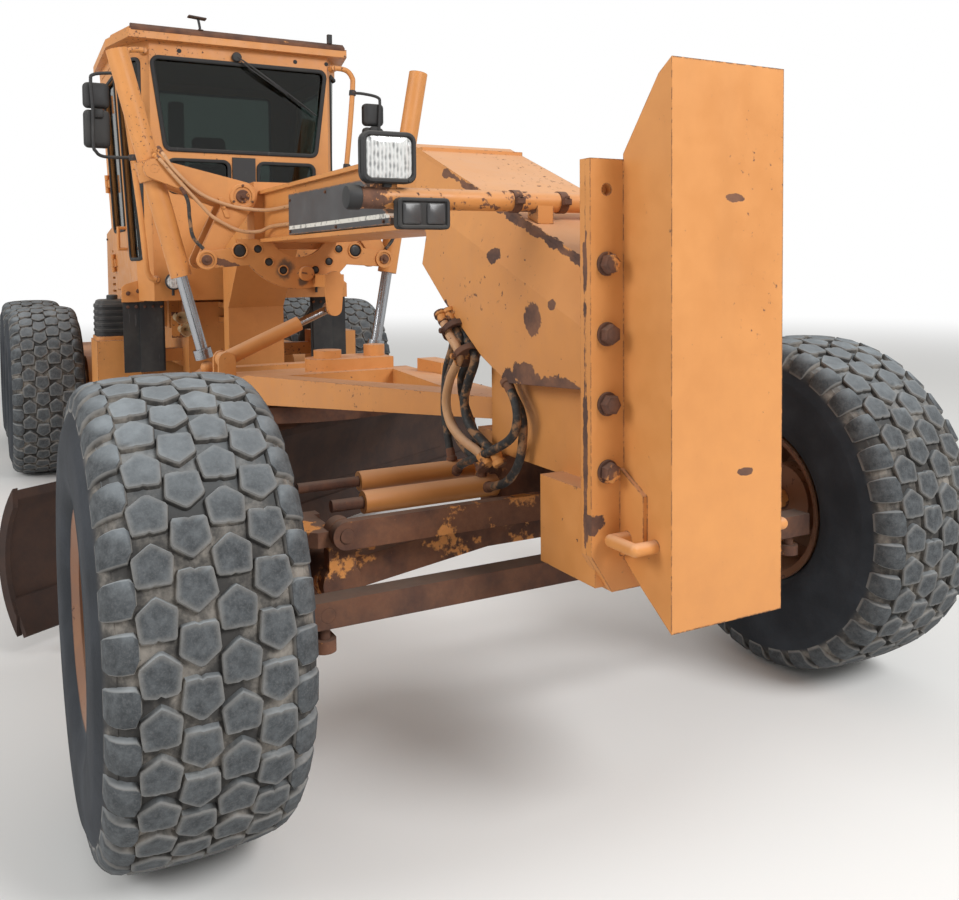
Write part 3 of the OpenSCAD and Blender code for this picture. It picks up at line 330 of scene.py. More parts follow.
def stripedPanel():  # the blank cover plate with the white line along its lower edge
    f = Finish("panelPaint", Specular_IOR_Level=0.5)
    height = f.node("SeparateXYZ", {}, f.place, pick=2)
    line = height.ramp(1.894, 1.896) * (1.0 - height.ramp(1.914, 1.916))
    rub = f.noise(30, 5, rough=0.7, seed=2.0).ramp(0.5, 0.66)
    film = f.noise(5, 5, rough=0.6, seed=3.0)
    colour = f.mix(film.ramp(0.35, 0.75) * 0.35, (0.05, 0.053, 0.057), (0.15, 0.153, 0.157))
    colour = f.mix(line * (1.0 - rub * 0.8), colour, (0.66, 0.64, 0.58))
    bare = (f.edge(0.006) * 0.4 + f.noise(34, 5, seed=6.0)).ramp(0.76, 0.82)
    colour = f.mix(bare, colour, orange["shade"])
    return f.done(colour, 0.38 + 0.35 * film, f.noise(90, 3) * 0.3 + film * 0.4, 0.2, 0.002, 0.003)


def clothFinish():
    f = Finish("seatCloth", Sheen_Weight=0.25, Specular_IOR_Level=0.25)
    weave, cross = [f.waves(along, 220.0, 0.4) for along in "XY"]
    worn = f.noise(7, 4, seed=2.0).ramp(0.4, 0.75)
    colour = f.mix(weave * cross, (0.018, 0.018, 0.02), (0.05, 0.05, 0.055))
    colour = f.mix(worn * 0.6, colour, (0.1, 0.095, 0.09))
    return f.done(colour, 0.85 + 0.1 * worn, weave * 0.5 + cross * 0.5, 0.35, 0.001)


def lampFinish(name, deep=(0.25, 0.26, 0.26), bright=(0.66, 0.67, 0.66)):
    f = Finish(name, Coat_Weight=1.0, Coat_Roughness=0.05)
    ribs = f.waves("Y", 26.0, 1.2)
    cells = f.node("TexVoronoi", {}, Vector=f.place, Scale=55.0, pick="Distance")
    colour = f.mix((ribs * 0.6 + cells).ramp(0.2, 1.0), deep, bright)
    return f.done(colour, 0.12, ribs + cells, 0.6, 0.004)


nosePatches = [((0.159, -0.27, 1.725), (0.04, 0.1, 0.028)), ((0.411, -0.28, 1.527), (0.05, 0.1, 0.055)),
               ((0.516, -0.28, 1.572), (0.024, 0.1, 0.016)), ((0.357, -0.28, 1.35), (0.085, 0.1, 0.036)),
               ((-0.38, -0.28, 1.8), (0.02, 0.1, 0.02))]
noseBands = [((-0.3, -0.228, 2.045), (0.7, -0.228, 1.668), 0.02),
             ((0.24, -0.28, 1.322), (0.7, -0.28, 1.33), 0.034),
             ((-0.201, -0.28, 1.556), (0.109, -0.28, 1.298), 0.014),
             ((0.735, -0.31, 0.9), (0.735, -0.31, 1.75), 0.009)]
paint = paintFinish("orangePaint", chips=0.5)
nosePaint = paintFinish("nosePaint", chips=0.35, patches=nosePatches, bands=noseBands, dirt=0.35)
blockPaint = paintFinish("blockPaint", chips=0.25, dirt=0.25, edgeWear=0.9,
                         patches=[((0.972, 0.02, 1.87), (0.2, 0.035, 0.012)),
                                  ((0.972, 0.06, 1.12), (0.2, 0.03, 0.012)),
                                  ((0.75, -0.31, 0.97), (0.05, 0.05, 0.03))],
                         bands=[((0.742, -0.312, 0.92), (0.742, -0.312, 1.78), 0.008)])
roughPaint = paintFinish("wornPaint", chips=1.0, dirt=1.0, edgeWear=1.0)
tubePaint = paintFinish("tubePaint", chips=1.6, dirt=0.8, edgeWear=1.0,
                        bands=[((0.3, -0.8, 1.895), (0.3, -0.62, 1.895), 0.045),
                               ((0.3, -0.33, 1.895), (0.3, -0.2, 1.895), 0.045)])
barrelPaint = paintFinish("barrelPaint", chips=0.4, dirt=0.4)
linkPaint = paintFinish("linkPaint", chips=0.5, dirt=0.6,
                        stains=[((-2.845, -0.095, 1.676), (0.06, 0.06, 0.066)),
                                ((-2.845, 0.02, 1.6), (0.06, 0.035, 0.03))],
                        bands=[((-2.845, -0.52, 1.735), (-2.845, -0.3, 1.66), 0.022)])
rust = rustFinish("rustySteel", paintLeft=0.25)
axleRust = rustFinish("axleSteel", paintLeft=0.15, dusty=0.5)
tieRust = rustFinish("tieSteel", paintLeft=-0.6, dark=0.3, dusty=0.8)
dullRod = rustFinish("dullRod", paintLeft=-0.3, dusty=0.5)
# rusty steel with painted shade: dark=0.82 and little dust give the blade the near-black of the shadow under
# the machine
bladeRustAndShade = rustFinish("bladeSteelInShade", paintLeft=-0.6, dark=0.82, dusty=0.08)
circleRust = rustFinish("circleSteel", paintLeft=-0.1, dark=0.25)
rimPaint = paintFinish("rimPaint", chips=1.7, dirt=1.6, edgeWear=1.4,
                       base=((0.26, 0.115, 0.055), (0.15, 0.07, 0.04)))
roofPaint = paintFinish("roofPaint", chips=0.9, dirt=0.9)
stripRust = rustFinish("stripRust", paintLeft=-0.35, dusty=0.15)
black = blackFinish("blackPlastic")
blackPaint = blackFinish("blackPaint", chips=0.8)
rubber = blackFinish("flapRubber", tone=0.03, rough=0.75, dust=0.7)
darkCab = blackFinish("cabTrim", tone=0.035, rough=0.6, dust=0.3)
chrome = chromeFinish()
tyreRubber = tyreFinish()
glass = glassFinish("cabGlass")
seatCloth = clothFinish()
darkPlastic = blackFinish("tankPlastic", tone=0.026, rough=0.42, dust=0.55)
hoseRubber = wornHose()
pipePaint = paintFinish("pipePaint", chips=1.2, dirt=0.9, base=((0.66, 0.38, 0.2), (0.46, 0.24, 0.11)))
panelPaint = stripedPanel()
lens = lampFinish("lampLens")
smokedLens = blackFinish("smokedLens", tone=0.05, rough=0.18, dust=0.25)
sealRubber = blackFinish("sealRubber", tone=0.018, rough=0.6, dust=0.3)
holeFillFinish = blackFinish("darkHoleFill", tone=0.02, rough=0.25, dust=0.3)
cream = paintFinish("creamPaint", chips=0.9, dirt=1.3, base=((0.72, 0.58, 0.36), (0.5, 0.37, 0.2)))
redLens = lampFinish("redLens", (0.3, 0.012, 0.01), (0.55, 0.035, 0.025))
mirrorGlass = Finish("mirrorGlass", rough=0.06, metal=1.0).mat
print("finishes made")

dressed = [
    (roughPaint, "rear_frame tandems side_boxes"),
    (paint, "hood cab_body drawbar door"),
    (blackPaint, "engine_block stacks"),
    (roofPaint, "cab_roof"),
    (glass, "cab_glass door_glass"),
    (seatCloth, "seat"),
    (darkCab, "console"),
    (black, "mirrors headlamps"),
    (rubber, "mud_flaps"),
    (nosePaint, "front_frame"),
    (blockPaint, "push_block"),
    (tubePaint, "light_bar"),
    (linkPaint, "lift_arms"),
    (axleRust, "front_axle lean_bar lean_yoke"),
    (rust, "knuckle"),
    (tieRust, "tie_rod_end tie_rod"),
    (dullRod, "lean_rod steer_rod"),
    (chrome, "lift_rod shift_rod"),
    (barrelPaint, "axle_barrels lift_barrel shift_barrel"),
    (circleRust, "blade_circle blade_carrier"),
    (bladeRustAndShade, "blade"),
    (tyreRubber, "tyre_front tyre_mid tyre_rear"),
    (rimPaint, "rim_front rim_mid rim_rear")]
finishOf = {word: finish for finish, words in dressed for word in words.split()}
for name, cad in nodes.items():
    cad.data.materials.clear()
    cad.data.materials.append(finishOf.get(name) or finishOf[name.rsplit("_", 1)[0]])
print("nodes finished")


# mesh making

def around(count):  # the cosine and sine of evenly spaced turns
    return [(math.cos(t), math.sin(t)) for t in (2 * math.pi * k / count for k in range(count))]


def skin(rows, count, closed=False, ring=True):  # faces between rows of count points each
    return [(i * count + k, i * count + (k + 1) % count,
             (i + 1) % rows * count + (k + 1) % count, (i + 1) % rows * count + k)
            for i in range(rows if closed else rows - 1) for k in range(count if ring else count - 1)]


def inward(outline, middle=None):  # each corner with the direction and the share of a step inwards
    out = []
    for i, p in enumerate(outline):
        p, before, after = Vector(p), Vector(outline[i - 1]), Vector(outline[(i + 1) % len(outline)])
        a, b = (p - before).normalized(), (after - p).normalized()
        square, n = Vector((-a.y, a.x)), Vector((-(a + b).y, (a + b).x))
        n = n.normalized() if n.length > 1e-6 else square
        if middle is not None and n.dot(middle - p) < 0:
            n = -n
        out.append((p, n, max(0.4, abs(n.dot(square)))))
    return out


class Shape:  # gathers points and faces of one piece
    def __init__(self):
        self.points, self.faces, self.wear = [], [], []

    def add(self, points, faces, wear=None):
        n = len(self.points)
        self.points += [Vector(p) for p in points]
        self.faces += [tuple(n + i for i in f) for f in faces]
        self.wear += wear or [1.0] * len(points)

    def rings(self, rings, closed=False, caps=True):  # skins rings of equal length
        count, steps = len(rings[0]), len(rings)
        faces = skin(steps, count, closed)
        if caps and not closed:
            faces += [tuple(range(count))[::-1], tuple((steps - 1) * count + k for k in range(count))]
        self.add([p for r in rings for p in r], faces)

    def lathe(self, profile, start, axis, sides=32):  # profile of (radius, distance along the axis)
        axis = Vector(axis).normalized()
        u = axis.orthogonal().normalized()
        v = axis.cross(u)
        self.rings([[Vector(start) + axis * d + (u * c + v * s) * max(r, 1e-4) for c, s in around(sides)]
                    for r, d in profile])

    def slab(self, outline, start, u, v, depth, bevel=0.003):
        u, v = Vector(u).normalized(), Vector(v).normalized()
        w = u.cross(v)
        corners = inward(outline, Vector([sum(p[i] for p in outline) for i in (0, 1)]) / len(outline))
        rings = []
        for inset, lift in ((bevel, 0), (0, bevel), (0, depth - bevel), (bevel, depth)):
            flat = [p + n * (inset / c) for p, n, c in corners]
            rings.append([Vector(start) + u * q.x + v * q.y + w * lift for q in flat])
        self.rings(rings)

    def rim(self, outline, place, width, depth):
        section = [(0, -0.002), (0, depth * 0.6), (width * 0.25, depth), (width * 0.75, depth),
                   (width, depth * 0.6), (width, -0.002)]
        self.rings([[place(*(p + n * (s / c)), h) for s, h in section] for p, n, c in inward(outline)],
                   closed=True)

    def bolt(self, spot, axis, across=0.03, turn=0.0):  # a washer and a hexagon head
        axis = Vector(axis).normalized()
        u = axis.orthogonal().normalized()
        self.lathe([(across * 0.72, 0), (across * 0.72, across * 0.08), (across * 0.66, across * 0.12)],
                   spot, axis, 18)
        self.slab(hexOutline(across, turn), Vector(spot) + axis * across * 0.1, u, axis.cross(u),
                  across * 0.6, across * 0.08)

    def tube(self, path, radius, sides=10):
        path = [Vector(p) for p in path]
        rings, u = [], None
        for i, p in enumerate(path):
            along = (path[min(i + 1, len(path) - 1)] - path[max(i - 1, 0)]).normalized()
            u = along.orthogonal().normalized() if u is None else (u - along * u.dot(along)).normalized()
            v = along.cross(u)
            rings.append([p + (u * c + v * s) * radius for c, s in around(sides)])
        self.rings(rings)

    def piece(self, name, finish, body, slot, replaces=(), sharp=38, wearNamed=False):
        data = bpy.data.meshes.new(name)
        data.from_pydata([tuple(p) for p in self.points], [], self.faces)
        data.materials.append(finish)
        if wearNamed:
            data.attributes.new("wear", "FLOAT", "POINT").data.foreach_set("value", self.wear)
        data.update()
        smoothBy(data, sharp)
        made = bpy.data.objects.new(name, data)
        bpy.context.scene.collection.objects.link(made)
        if body:
            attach(made, body)
        if replaces:
            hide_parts(*replaces)
        return made


def smoothBy(data, sharp):
    bm = bmesh.new()
    bm.from_mesh(data)
    bmesh.ops.recalc_face_normals(bm, faces=bm.faces)
    limit = math.radians(sharp)
    for face in bm.faces:
        face.smooth = True
    for e in bm.edges:
        e.smooth = len(e.link_faces) == 2 and e.calc_face_angle(0) < limit
    bm.to_mesh(data)
    bm.free()


def curve(points, steps=6):  # a smooth line through given points
    pts = [Vector(p) for p in points]
    out = []
    for i in range(len(pts) - 1):
        a, b, c, d = [pts[min(max(k, 0), len(pts) - 1)] for k in range(i - 1, i + 3)]
        for t in (k / steps for k in range(steps)):
            out.append(0.5 * (2 * b + (c - a) * t + (2 * a - 5 * b + 4 * c - d) * t * t
                              + (3 * b - a - 3 * c + d) * t ** 3))
    return out + [pts[-1]]


def roundOutline(w, h, r, n=5):  # a rectangle with round corners about its middle
    out = []
    for sx, sy, start in ((1, 1, 0), (-1, 1, 90), (-1, -1, 180), (1, -1, 270)):
        for k in range(n + 1):
            t = math.radians(start + 90 * k / n)
            out.append((sx * (w / 2 - r) + r * math.cos(t), sy * (h / 2 - r) + r * math.sin(t)))
    return out


def hexOutline(across, turn=0.0):
    r = across / math.sqrt(3)
    angles = [math.radians(60 * k + turn) for k in range(6)]
    return [(r * math.cos(t), r * math.sin(t)) for t in angles]


def boxOutline(w, h):  # a plain rectangle about its middle
    return [(-w / 2, -h / 2), (w / 2, -h / 2), (w / 2, h / 2), (-w / 2, h / 2)]


def scaled(outline, k, m=None):
    return [(p * k, q * (k if m is None else m)) for p, q in outline]


# tyres

tyre = {"blocks": 34, "depth": 0.021, "sides": 120,
        "columns": [(-0.141, "cup"), (-0.047, "house"), (0.047, "cup"), (0.141, "house")],
        "crown": [(0, 0.69), (0.05, 0.6895), (0.1, 0.6875), (0.15, 0.684), (0.19, 0.6785), (0.222, 0.668),
                  (0.246, 0.648), (0.26, 0.618), (0.268, 0.585), (0.2735, 0.55), (0.276, 0.52)],
        "side": [(0.2763, 0.49), (0.2762, 0.45), (0.2735, 0.42), (0.2755, 0.41), (0.27, 0.385),
                 (0.262, 0.362), (0.252, 0.345), (0.246, 0.335), (0.232, 0.322), (0.212, 0.312),
                 (0.19, 0.3)]}  # crown and side: distance from the middle plane, radius


def crownAt(s):  # the point and outward direction at arc length s from the middle of the tread
    pts = tyre["crown"]
    side, left = (1 if s >= 0 else -1), abs(s)
    for (y0, r0), (y1, r1) in zip(pts, pts[1:]):
        step = math.hypot(y1 - y0, r1 - r0)
        if left <= step or (y1, r1) == pts[-1]:
            t = left / step
            n = Vector((-(r1 - r0), (y1 - y0))) / step  # outward: axial, radial
            return side * (y0 + (y1 - y0) * t), r0 + (r1 - r0) * t, Vector((side * n.x, n.y))
        left -= step


def treadPoint(turn, s, sink):
    y, r, n = crownAt(s)
    y, r = y - n.x * sink, r - n.y * sink
    return Vector((r * math.cos(turn), y, r * math.sin(turn)))


half = [(0.009, -0.049), (0.042, -0.025), (0.0465, -0.017), (0.0405, 0.036), (0.035, 0.043),
        (0.009, 0.0446)]
house = [(0, -0.0525), *half, (0, 0.0412), *[(-x, u) for x, u in half[::-1]]]
blockForms = {"house": house, "cup": [(-x, -u) for x, u in house]}
# rings of a middle block: how far it spreads, how deep it lies, its share of the block's own drop,
# how worn it looks
blockRings = [(1.16, 0.024, 0.0, 0.05), (1.115, 0.00945, 0.0, 0.25), (1.085, 0.0042, 1.0, 0.62),
              (1.03, 0.0006, 1.0, 0.8), (0.58, 0.0, 1.0, 1.0)]
# rows of a shoulder block: arc length from the middle, length up and down the tread
shoulderRows = [(0.186, 0.02, 0.034), (0.198, 0.046, 0.045), (0.225, 0.048, 0.046), (0.246, 0.048, 0.045),
                (0.27, 0.047, 0.044), (0.3, 0.045, 0.04), (0.33, 0.04, 0.034), (0.352, 0.026, 0.022)]
shoulderWear = {"end": [0.05] * 6, "tread": [0.05, 0.62, 0.95, 0.95, 0.62, 0.05],
                "side": [0.0, 0.3, 0.2, 0.2, 0.3, 0.0]}


def middleBlock(shape, rng, middle, across, form):
    outline = [(across + x * rng.uniform(0.95, 1.02), u * rng.uniform(0.95, 1.02))
               for x, u in blockForms[form]]
    low = rng.uniform(0, 0.0025)
    points, wear = [], []
    for grow, sink, share, worn in blockRings:
        points += [treadPoint(middle + (u * grow) / wheelRadius, across + (x - across) * grow,
                              sink + low * share) for x, u in outline]
        wear += [worn] * len(outline)
    n, rings = len(outline), len(blockRings)
    points.append(treadPoint(middle, across, low))
    last = (rings - 1) * n
    faces = skin(rings, n) + [(last + k, last + (k + 1) % n, last + n) for k in range(n)]
    shape.add(points, faces, wear + [1.0])


def shoulderBlock(shape, rng, middle, side):
    depth, low = tyre["depth"], rng.uniform(0, 0.002)
    first, last = shoulderRows[0][0], shoulderRows[-1][0]

    def strip(s, turns, sinks):
        return [treadPoint(middle + t / wheelRadius, side * s, k) for t, k in zip(turns, sinks)]

    strips = [strip(first - 0.006, (-0.02, -0.018, -0.014, 0.026, 0.031, 0.034), [depth + 0.003] * 6)]
    for s, ahead, behind in shoulderRows:
        fade = 1.0 if s < 0.28 else max(0.25, 1 - (s - 0.28) / 0.09)
        lift = low + depth * (1 - fade)
        end = 0.3 * depth if s in (first, last) else 0.0
        slope, top = lift + 0.0045 + end, lift + end * 0.5
        turns = [-ahead * 1.08, -ahead, -ahead * 0.9, behind * 0.9, behind, behind * 1.08]
        strips.append(strip(s, turns, [depth + 0.003, slope, top, top, slope, depth + 0.003]))
    turns = (-0.024, -0.022, -0.018, 0.018, 0.021, 0.024)
    strips.append(strip(last + 0.008, turns, [depth * 0.2 + 0.003] * 6))
    kinds = ["end"] + ["tread"] * 6 + ["side"] * (len(strips) - 8) + ["end"]
    shape.add([p for row in strips for p in row], skin(len(strips), 6, ring=False),
              [w for kind in kinds for w in shoulderWear[kind]])


def makeTread(shape, rng):
    pitch = 2 * math.pi / tyre["blocks"]
    for across, form in tyre["columns"]:
        for i in range(tyre["blocks"]):
            middleBlock(shape, rng, (i + (0.5 if form == "cup" else 0.0)) * pitch, across, form)
    for side, phase in ((-1, 0.0), (1, 0.5)):
        for i in range(tyre["blocks"]):
            shoulderBlock(shape, rng, (i + phase) * pitch, side)


def makeTyreMesh():
    shape = Shape()
    makeTread(shape, random.Random(7))
    base = []
    for s in (k * 0.01 for k in range(37)):  # the floor of the grooves
        y, r, n = crownAt(s)
        sink = tyre["depth"] * (1.0 if s < 0.25 else max(0.0, 1 - (s - 0.25) / 0.11))
        base.append((y - n.x * sink, r - n.y * sink, 0.0 if s < 0.28 else -min(1, (s - 0.28) / 0.05)))
    base += [(y, r, -1.0) for y, r in tyre["side"]]
    profile = [(-y, r, w) for y, r, w in base[::-1]] + base[1:]
    points = [Vector((r * c, y, r * s)) for c, s in around(tyre["sides"]) for y, r, w in profile]
    shape.add(points, skin(tyre["sides"], len(profile), closed=True, ring=False),
              [w for _ in range(tyre["sides"]) for _, _, w in profile])
    return shape


def eachWheel():  # its side's sign, the middle of its tyre, its body and the names of its pieces
    for place, x in wheels.items():
        for side, sign in (("right", -1), ("left", 1)):
            yield sign, at(x, sign * track / 2, wheelRadius), f"{place}_{side}", (place, side.capitalize())


tyreShape = makeTyreMesh()
tyreMesh = None
for sign, middle, body, (place, side) in eachWheel():
    name = f"{place}Tyre{side}"
    if tyreMesh is None:
        made = tyreShape.piece(name, tyreRubber, None, None, sharp=50, wearNamed=True)
        tyreMesh = made.data
    else:
        made = bpy.data.objects.new(name, tyreMesh)
        bpy.context.scene.collection.objects.link(made)
    turn = Matrix.Rotation(math.pi if sign > 0 else 0, 4, "Z")
    made.matrix_world = Matrix.Translation(middle) @ turn
    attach(made, f"wheel_{body}")
    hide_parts(f"tyre_{body}")
print("tyres made,", len(tyreShape.faces), "faces each")

# wheel nuts

nuts = {"count": 10, "ring": 0.118, "across": 0.036, "out": 0.106}


def makeWheelNuts():
    for sign, middle, body, (place, side) in eachWheel():
        shape = Shape()
        for k in range(nuts["count"]):
            t = 2 * math.pi * (k + 0.5) / nuts["count"]
            spot = middle + Vector((0, sign * nuts["out"], 0))
            spot += Vector((math.cos(t), 0, math.sin(t))) * nuts["ring"]
            shape.lathe([(0.024, 0), (0.024, 0.004), (0.0235, 0.005)], spot, (0, sign, 0), 16)
            shape.slab(hexOutline(nuts["across"], 30 * (k % 3)), spot, forward, (0, 0, -sign), 0.026, 0.002)
            shape.lathe([(0.011, 0), (0.011, 0.034), (0.009, 0.038)], spot, (0, sign, 0), 10)
        shape.piece(f"{place}WheelNuts{side}", rust, f"wheel_{body}", "steel")


makeWheelNuts()

# bolts of the push block

blockBolts = {"y": 0.255, "z": (1.115, 1.305, 1.5, 1.695), "across": 0.046, "front": 0.765, "back": 0.715}


def makeBlockBolts():
    rng = random.Random(11)
    heads, tails = Shape(), Shape()
    for sign in (-1, 1):
        for z in blockBolts["z"]:
            washer = at(blockBolts["front"], sign * blockBolts["y"], z)
            head = washer + Vector((0.005, 0, 0))
            heads.lathe([(0.034, 0), (0.034, 0.004), (0.032, 0.006)], washer, forward, 24)
            heads.slab(hexOutline(blockBolts["across"] + 0.004, rng.uniform(0, 60)), head, sideways, upward,
                       0.026, 0.004)
            heads.lathe([(0.019, 0), (0.019, 0.027), (0.014, 0.0295), (0.001, 0.03)], head, forward, 16)
            back = at(blockBolts["back"], sign * blockBolts["y"], z)
            tails.slab(hexOutline(blockBolts["across"], rng.uniform(0, 60)), back, (0, -1, 0), upward, 0.024)
            tails.lathe([(0.015, 0), (0.015, 0.04), (0.012, 0.043)], back, (-1, 0, 0), 14)
    heads.piece("blockBoltHeads", rust, "front_frame", "steel")
    tails.piece("blockBoltNuts", rust, "front_frame", "steel")


makeBlockBolts()


# lamps on the light bar

headlamp = {"x": (0.275, 0.352), "y": 0.725, "z": 2.01, "wide": 0.172, "high": 0.15, "frame": 0.015}
marker = {"x": (0.3335, 0.372), "y": 0.625, "z": 1.8475, "wide": 0.168, "high": 0.093}


def facingFront(x, y, z):  # maps a flat outline onto a face that looks forward
    return lambda a, b, h: at(x + h, y + a, z + b)


def makeHeadlamps():
    shells, lenses, amber = Shape(), Shape(), Shape()
    for sign in (-1, 1):
        y, z, (back, front) = sign * headlamp["y"], headlamp["z"], headlamp["x"]
        outline = roundOutline(headlamp["wide"], headlamp["high"], 0.028)
        shells.rings([[at(x, y + p, z + q) for p, q in scaled(outline, k)] for x, k in
                      ((back, 0.78), (back + 0.004, 0.82), (back + 0.045, 1.0), (front - 0.012, 1.0),
                       (front - 0.01, 0.97))])
        shells.rim(outline, facingFront(front - 0.014, y, z), headlamp["frame"], 0.014)
        shells.slab(boxOutline(0.07, 0.024), at(0.3, y, z - 0.086), forward, sideways, 0.012, 0.002)
        for p in (-0.062, 0.062):
            shells.bolt(at(front - 0.002, y + p, z - 0.067), forward, 0.009)
        inner = scaled(outline, 0.86, 0.84)
        lenses.rings([[at(x, y + p, z + q) for p, q in scaled(inner, k)] for x, k in
                      ((front - 0.014, 1.0), (front - 0.006, 0.97), (front - 0.003, 0.85),
                       (front - 0.001, 0.45))])
        y, z, (back, front) = sign * marker["y"], marker["z"], marker["x"]
        outline = roundOutline(marker["wide"], marker["high"], 0.014)
        shells.rings([[at(x, y + p, z + q) for p, q in scaled(outline, k)] for x, k in
                      ((back, 0.94), (back + 0.003, 1.0), (front - 0.006, 1.0), (front - 0.004, 0.97))])
        shells.rim(outline, facingFront(front - 0.008, y, z), 0.013, 0.01)
        for middle in (-0.04, 0.038):
            outline = roundOutline(0.062, 0.066, 0.008)
            amber.rings([[at(x, y + middle + p, z + q) for p, q in scaled(outline, k)] for x, k in
                         ((front - 0.012, 1.0), (front - 0.001, 0.95), (front + 0.003, 0.8))])
    shells.piece("lampShells", black, "front_frame", "black", replaces=("headlamps",))
    lenses.piece("headlampLenses", lens, "front_frame", "glass")
    amber.piece("markerLenses", smokedLens, "front_frame", "glass")


makeHeadlamps()

barTrim = {"x": 0.3, "z": 1.895, "r": 0.0325, "clamps": (0.105, 0.279), "end": 0.83}


def makeBarTrim():
    caps, bands = Shape(), Shape()
    x, z, r = barTrim["x"], barTrim["z"], barTrim["r"]
    for sign in (-1, 1):
        caps.lathe([(r + 0.001, 0), (r + 0.004, 0.002), (r + 0.004, 0.034), (r, 0.041), (r * 0.6, 0.043)],
                   at(x, sign * (barTrim["end"] - 0.028), z), (0, sign, 0), 28)
        for y in barTrim["clamps"]:
            middle = at(x, sign * y, z)
            bands.lathe([(r + 0.0005, -0.015), (r + 0.0035, -0.0145), (r + 0.0035, 0.0145),
                         (r + 0.0005, 0.015)],
                        middle, sideways, 28)
            bands.slab(boxOutline(0.028, 0.02), middle + Vector((r - 0.002, 0, 0)), sideways, upward, 0.02,
                       0.002)
            bands.bolt(middle + Vector((r + 0.012, 0, 0.01)), upward, 0.013)
    caps.piece("barEndCaps", black, "front_frame", "black")
    bands.piece("barClamps", rust, "front_frame", "steel")


makeBarTrim()
print("lamps made")

# mirrors

mirror = {"x": -4.12, "y": 1.02, "z": (2.52, 2.965), "wide": 0.17, "split": 2.785}
# the corner rail from the roof down: y, z
railLine = [(0.7, 3.216), (0.765, 3.214), (0.812, 3.2), (0.845, 3.16), (0.853, 3.1), (0.828, 2.8),
            (0.789, 2.44), (0.747, 2.05), (0.719, 1.72), (0.712, 1.66), (0.688, 1.618), (0.65, 1.604)]
# the mirror's arm from its upper clamp to its lower one: how far ahead of the rail, y, z
armLine = [(0, 0.846, 3.036), (0.02, 0.93, 3.034), (0.046, 1.04, 3.01), (0.05, 1.058, 2.96),
           (0.052, 1.049, 2.78), (0.05, 1.05, 2.54), (0.046, 1.038, 2.492), (0.02, 0.98, 2.459),
           (0, 0.795, 2.462)]


def makeMirrors():
    shells, panes, rails, arms = Shape(), Shape(), Shape(), Shape()
    x0, y0, split, (foot, top) = mirror["x"], mirror["y"], mirror["split"], mirror["z"]
    for sign in (-1, 1):
        for low, high in ((foot, split - 0.006), (split + 0.006, top)):
            z, outline = (low + high) / 2, roundOutline(mirror["wide"], high - low, 0.032, 6)
            shells.rings([[at(x0 + x, sign * y0 + p * k, z + q * (1 - (1 - k) * 0.6)) for p, q in outline]
                          for x, k in ((-0.028, 0.97), (-0.03, 1.0), (-0.004, 1.0), (0.014, 0.95),
                                       (0.025, 0.82), (0.03, 0.55))])
            panes.rings([[at(x0 + x, sign * y0 + p, z + q) for p, q in scaled(outline, k)]
                         for x, k in ((-0.0295, 0.9), (-0.0315, 0.9), (-0.0318, 0.8))])
        shells.slab(roundOutline(0.07, 0.06, 0.01, 3), at(x0 + 0.028, sign * (y0 - 0.005), split - 0.035),
                    sideways, upward, 0.022, 0.004)
        arms.tube(curve([at(x0 + x, sign * y, z) for x, y, z in armLine]), 0.0115, 12)
        for y, z in ((0.85, 3.036), (0.792, 2.462)):  # clamps on the rail
            arms.lathe([(0.021, -0.022), (0.027, -0.018), (0.027, 0.018), (0.021, 0.022)],
                       at(x0, sign * y, z), (0, 0.1 * sign, 1), 18)
            arms.bolt(at(x0 + 0.025, sign * y, z), forward, 0.014)
        rails.tube(curve([at(x0, sign * y, z) for y, z in railLine]), 0.02, 16)
        for y, z in (railLine[0], railLine[-1]):  # feet on the cab's front
            rails.lathe([(0.03, -0.045), (0.03, -0.04), (0.019, -0.02), (0.019, 0.012)],
                        at(x0, sign * (y - 0.004), z), forward, 20)
    shells.piece("mirrorShells", black, "rear_frame", "black", replaces=("mirrors",), sharp=50)
    panes.piece("mirrorGlass", mirrorGlass, "rear_frame", "glass")
    rails.piece("cornerRails", roughPaint, "rear_frame", "paint")
    arms.piece("mirrorArms", blackPaint, "rear_frame", "black")


makeMirrors()
print("mirrors made")

# window seals, wiper and the small parts on the cab

cab = {"front": -4.165, "back": -5.55, "shield": (2.535, 3.19), "shieldHalf": (0.572, 0.662),
       "low": (2.23, 2.469), "lowMiddle": 0.325, "lowHalf": 0.23, "backHalf": 0.61, "door": (-5.44, -4.645),
       "doorFoot": 1.97, "doorTop": 3.23, "frameWide": 0.08, "side": (-4.595, -4.245, 1.74, 3.2),
       "corner": 0.058, "roof": 3.4, "roofBolts": (-4.45, -5.2)}


def sideWall(x, z):  # how far out the cab's wall stands
    return min(0.74 + 0.09 * (z - 1.45) / 1.85, 0.66 + 0.24 * (cab["front"] - x) / 0.43)


def onSide(sign):
    return lambda a, b, h: at(a, sign * (sideWall(a, b) + h), b)


def roundedShape(corners, r, n=5):  # any convex outline, counter-clockwise, with round corners
    out = []
    for i, p in enumerate(corners):
        p, before, after = Vector(p), Vector(corners[i - 1]), Vector(corners[(i + 1) % len(corners)])
        a, b = (before - p).normalized(), (after - p).normalized()
        half = math.acos(max(-1, min(1, a.dot(b)))) / 2
        centre = p + (a + b).normalized() * (r / math.sin(half))
        first, last = [math.atan2(*(p + way * (r / math.tan(half)) - centre).yx) for way in (a, b)]
        while last < first:
            last += 2 * math.pi
        angles = [first + (last - first) * k / n for k in range(n + 1)]
        out += [tuple(centre + Vector((math.cos(t), math.sin(t))) * r) for t in angles]
    return out


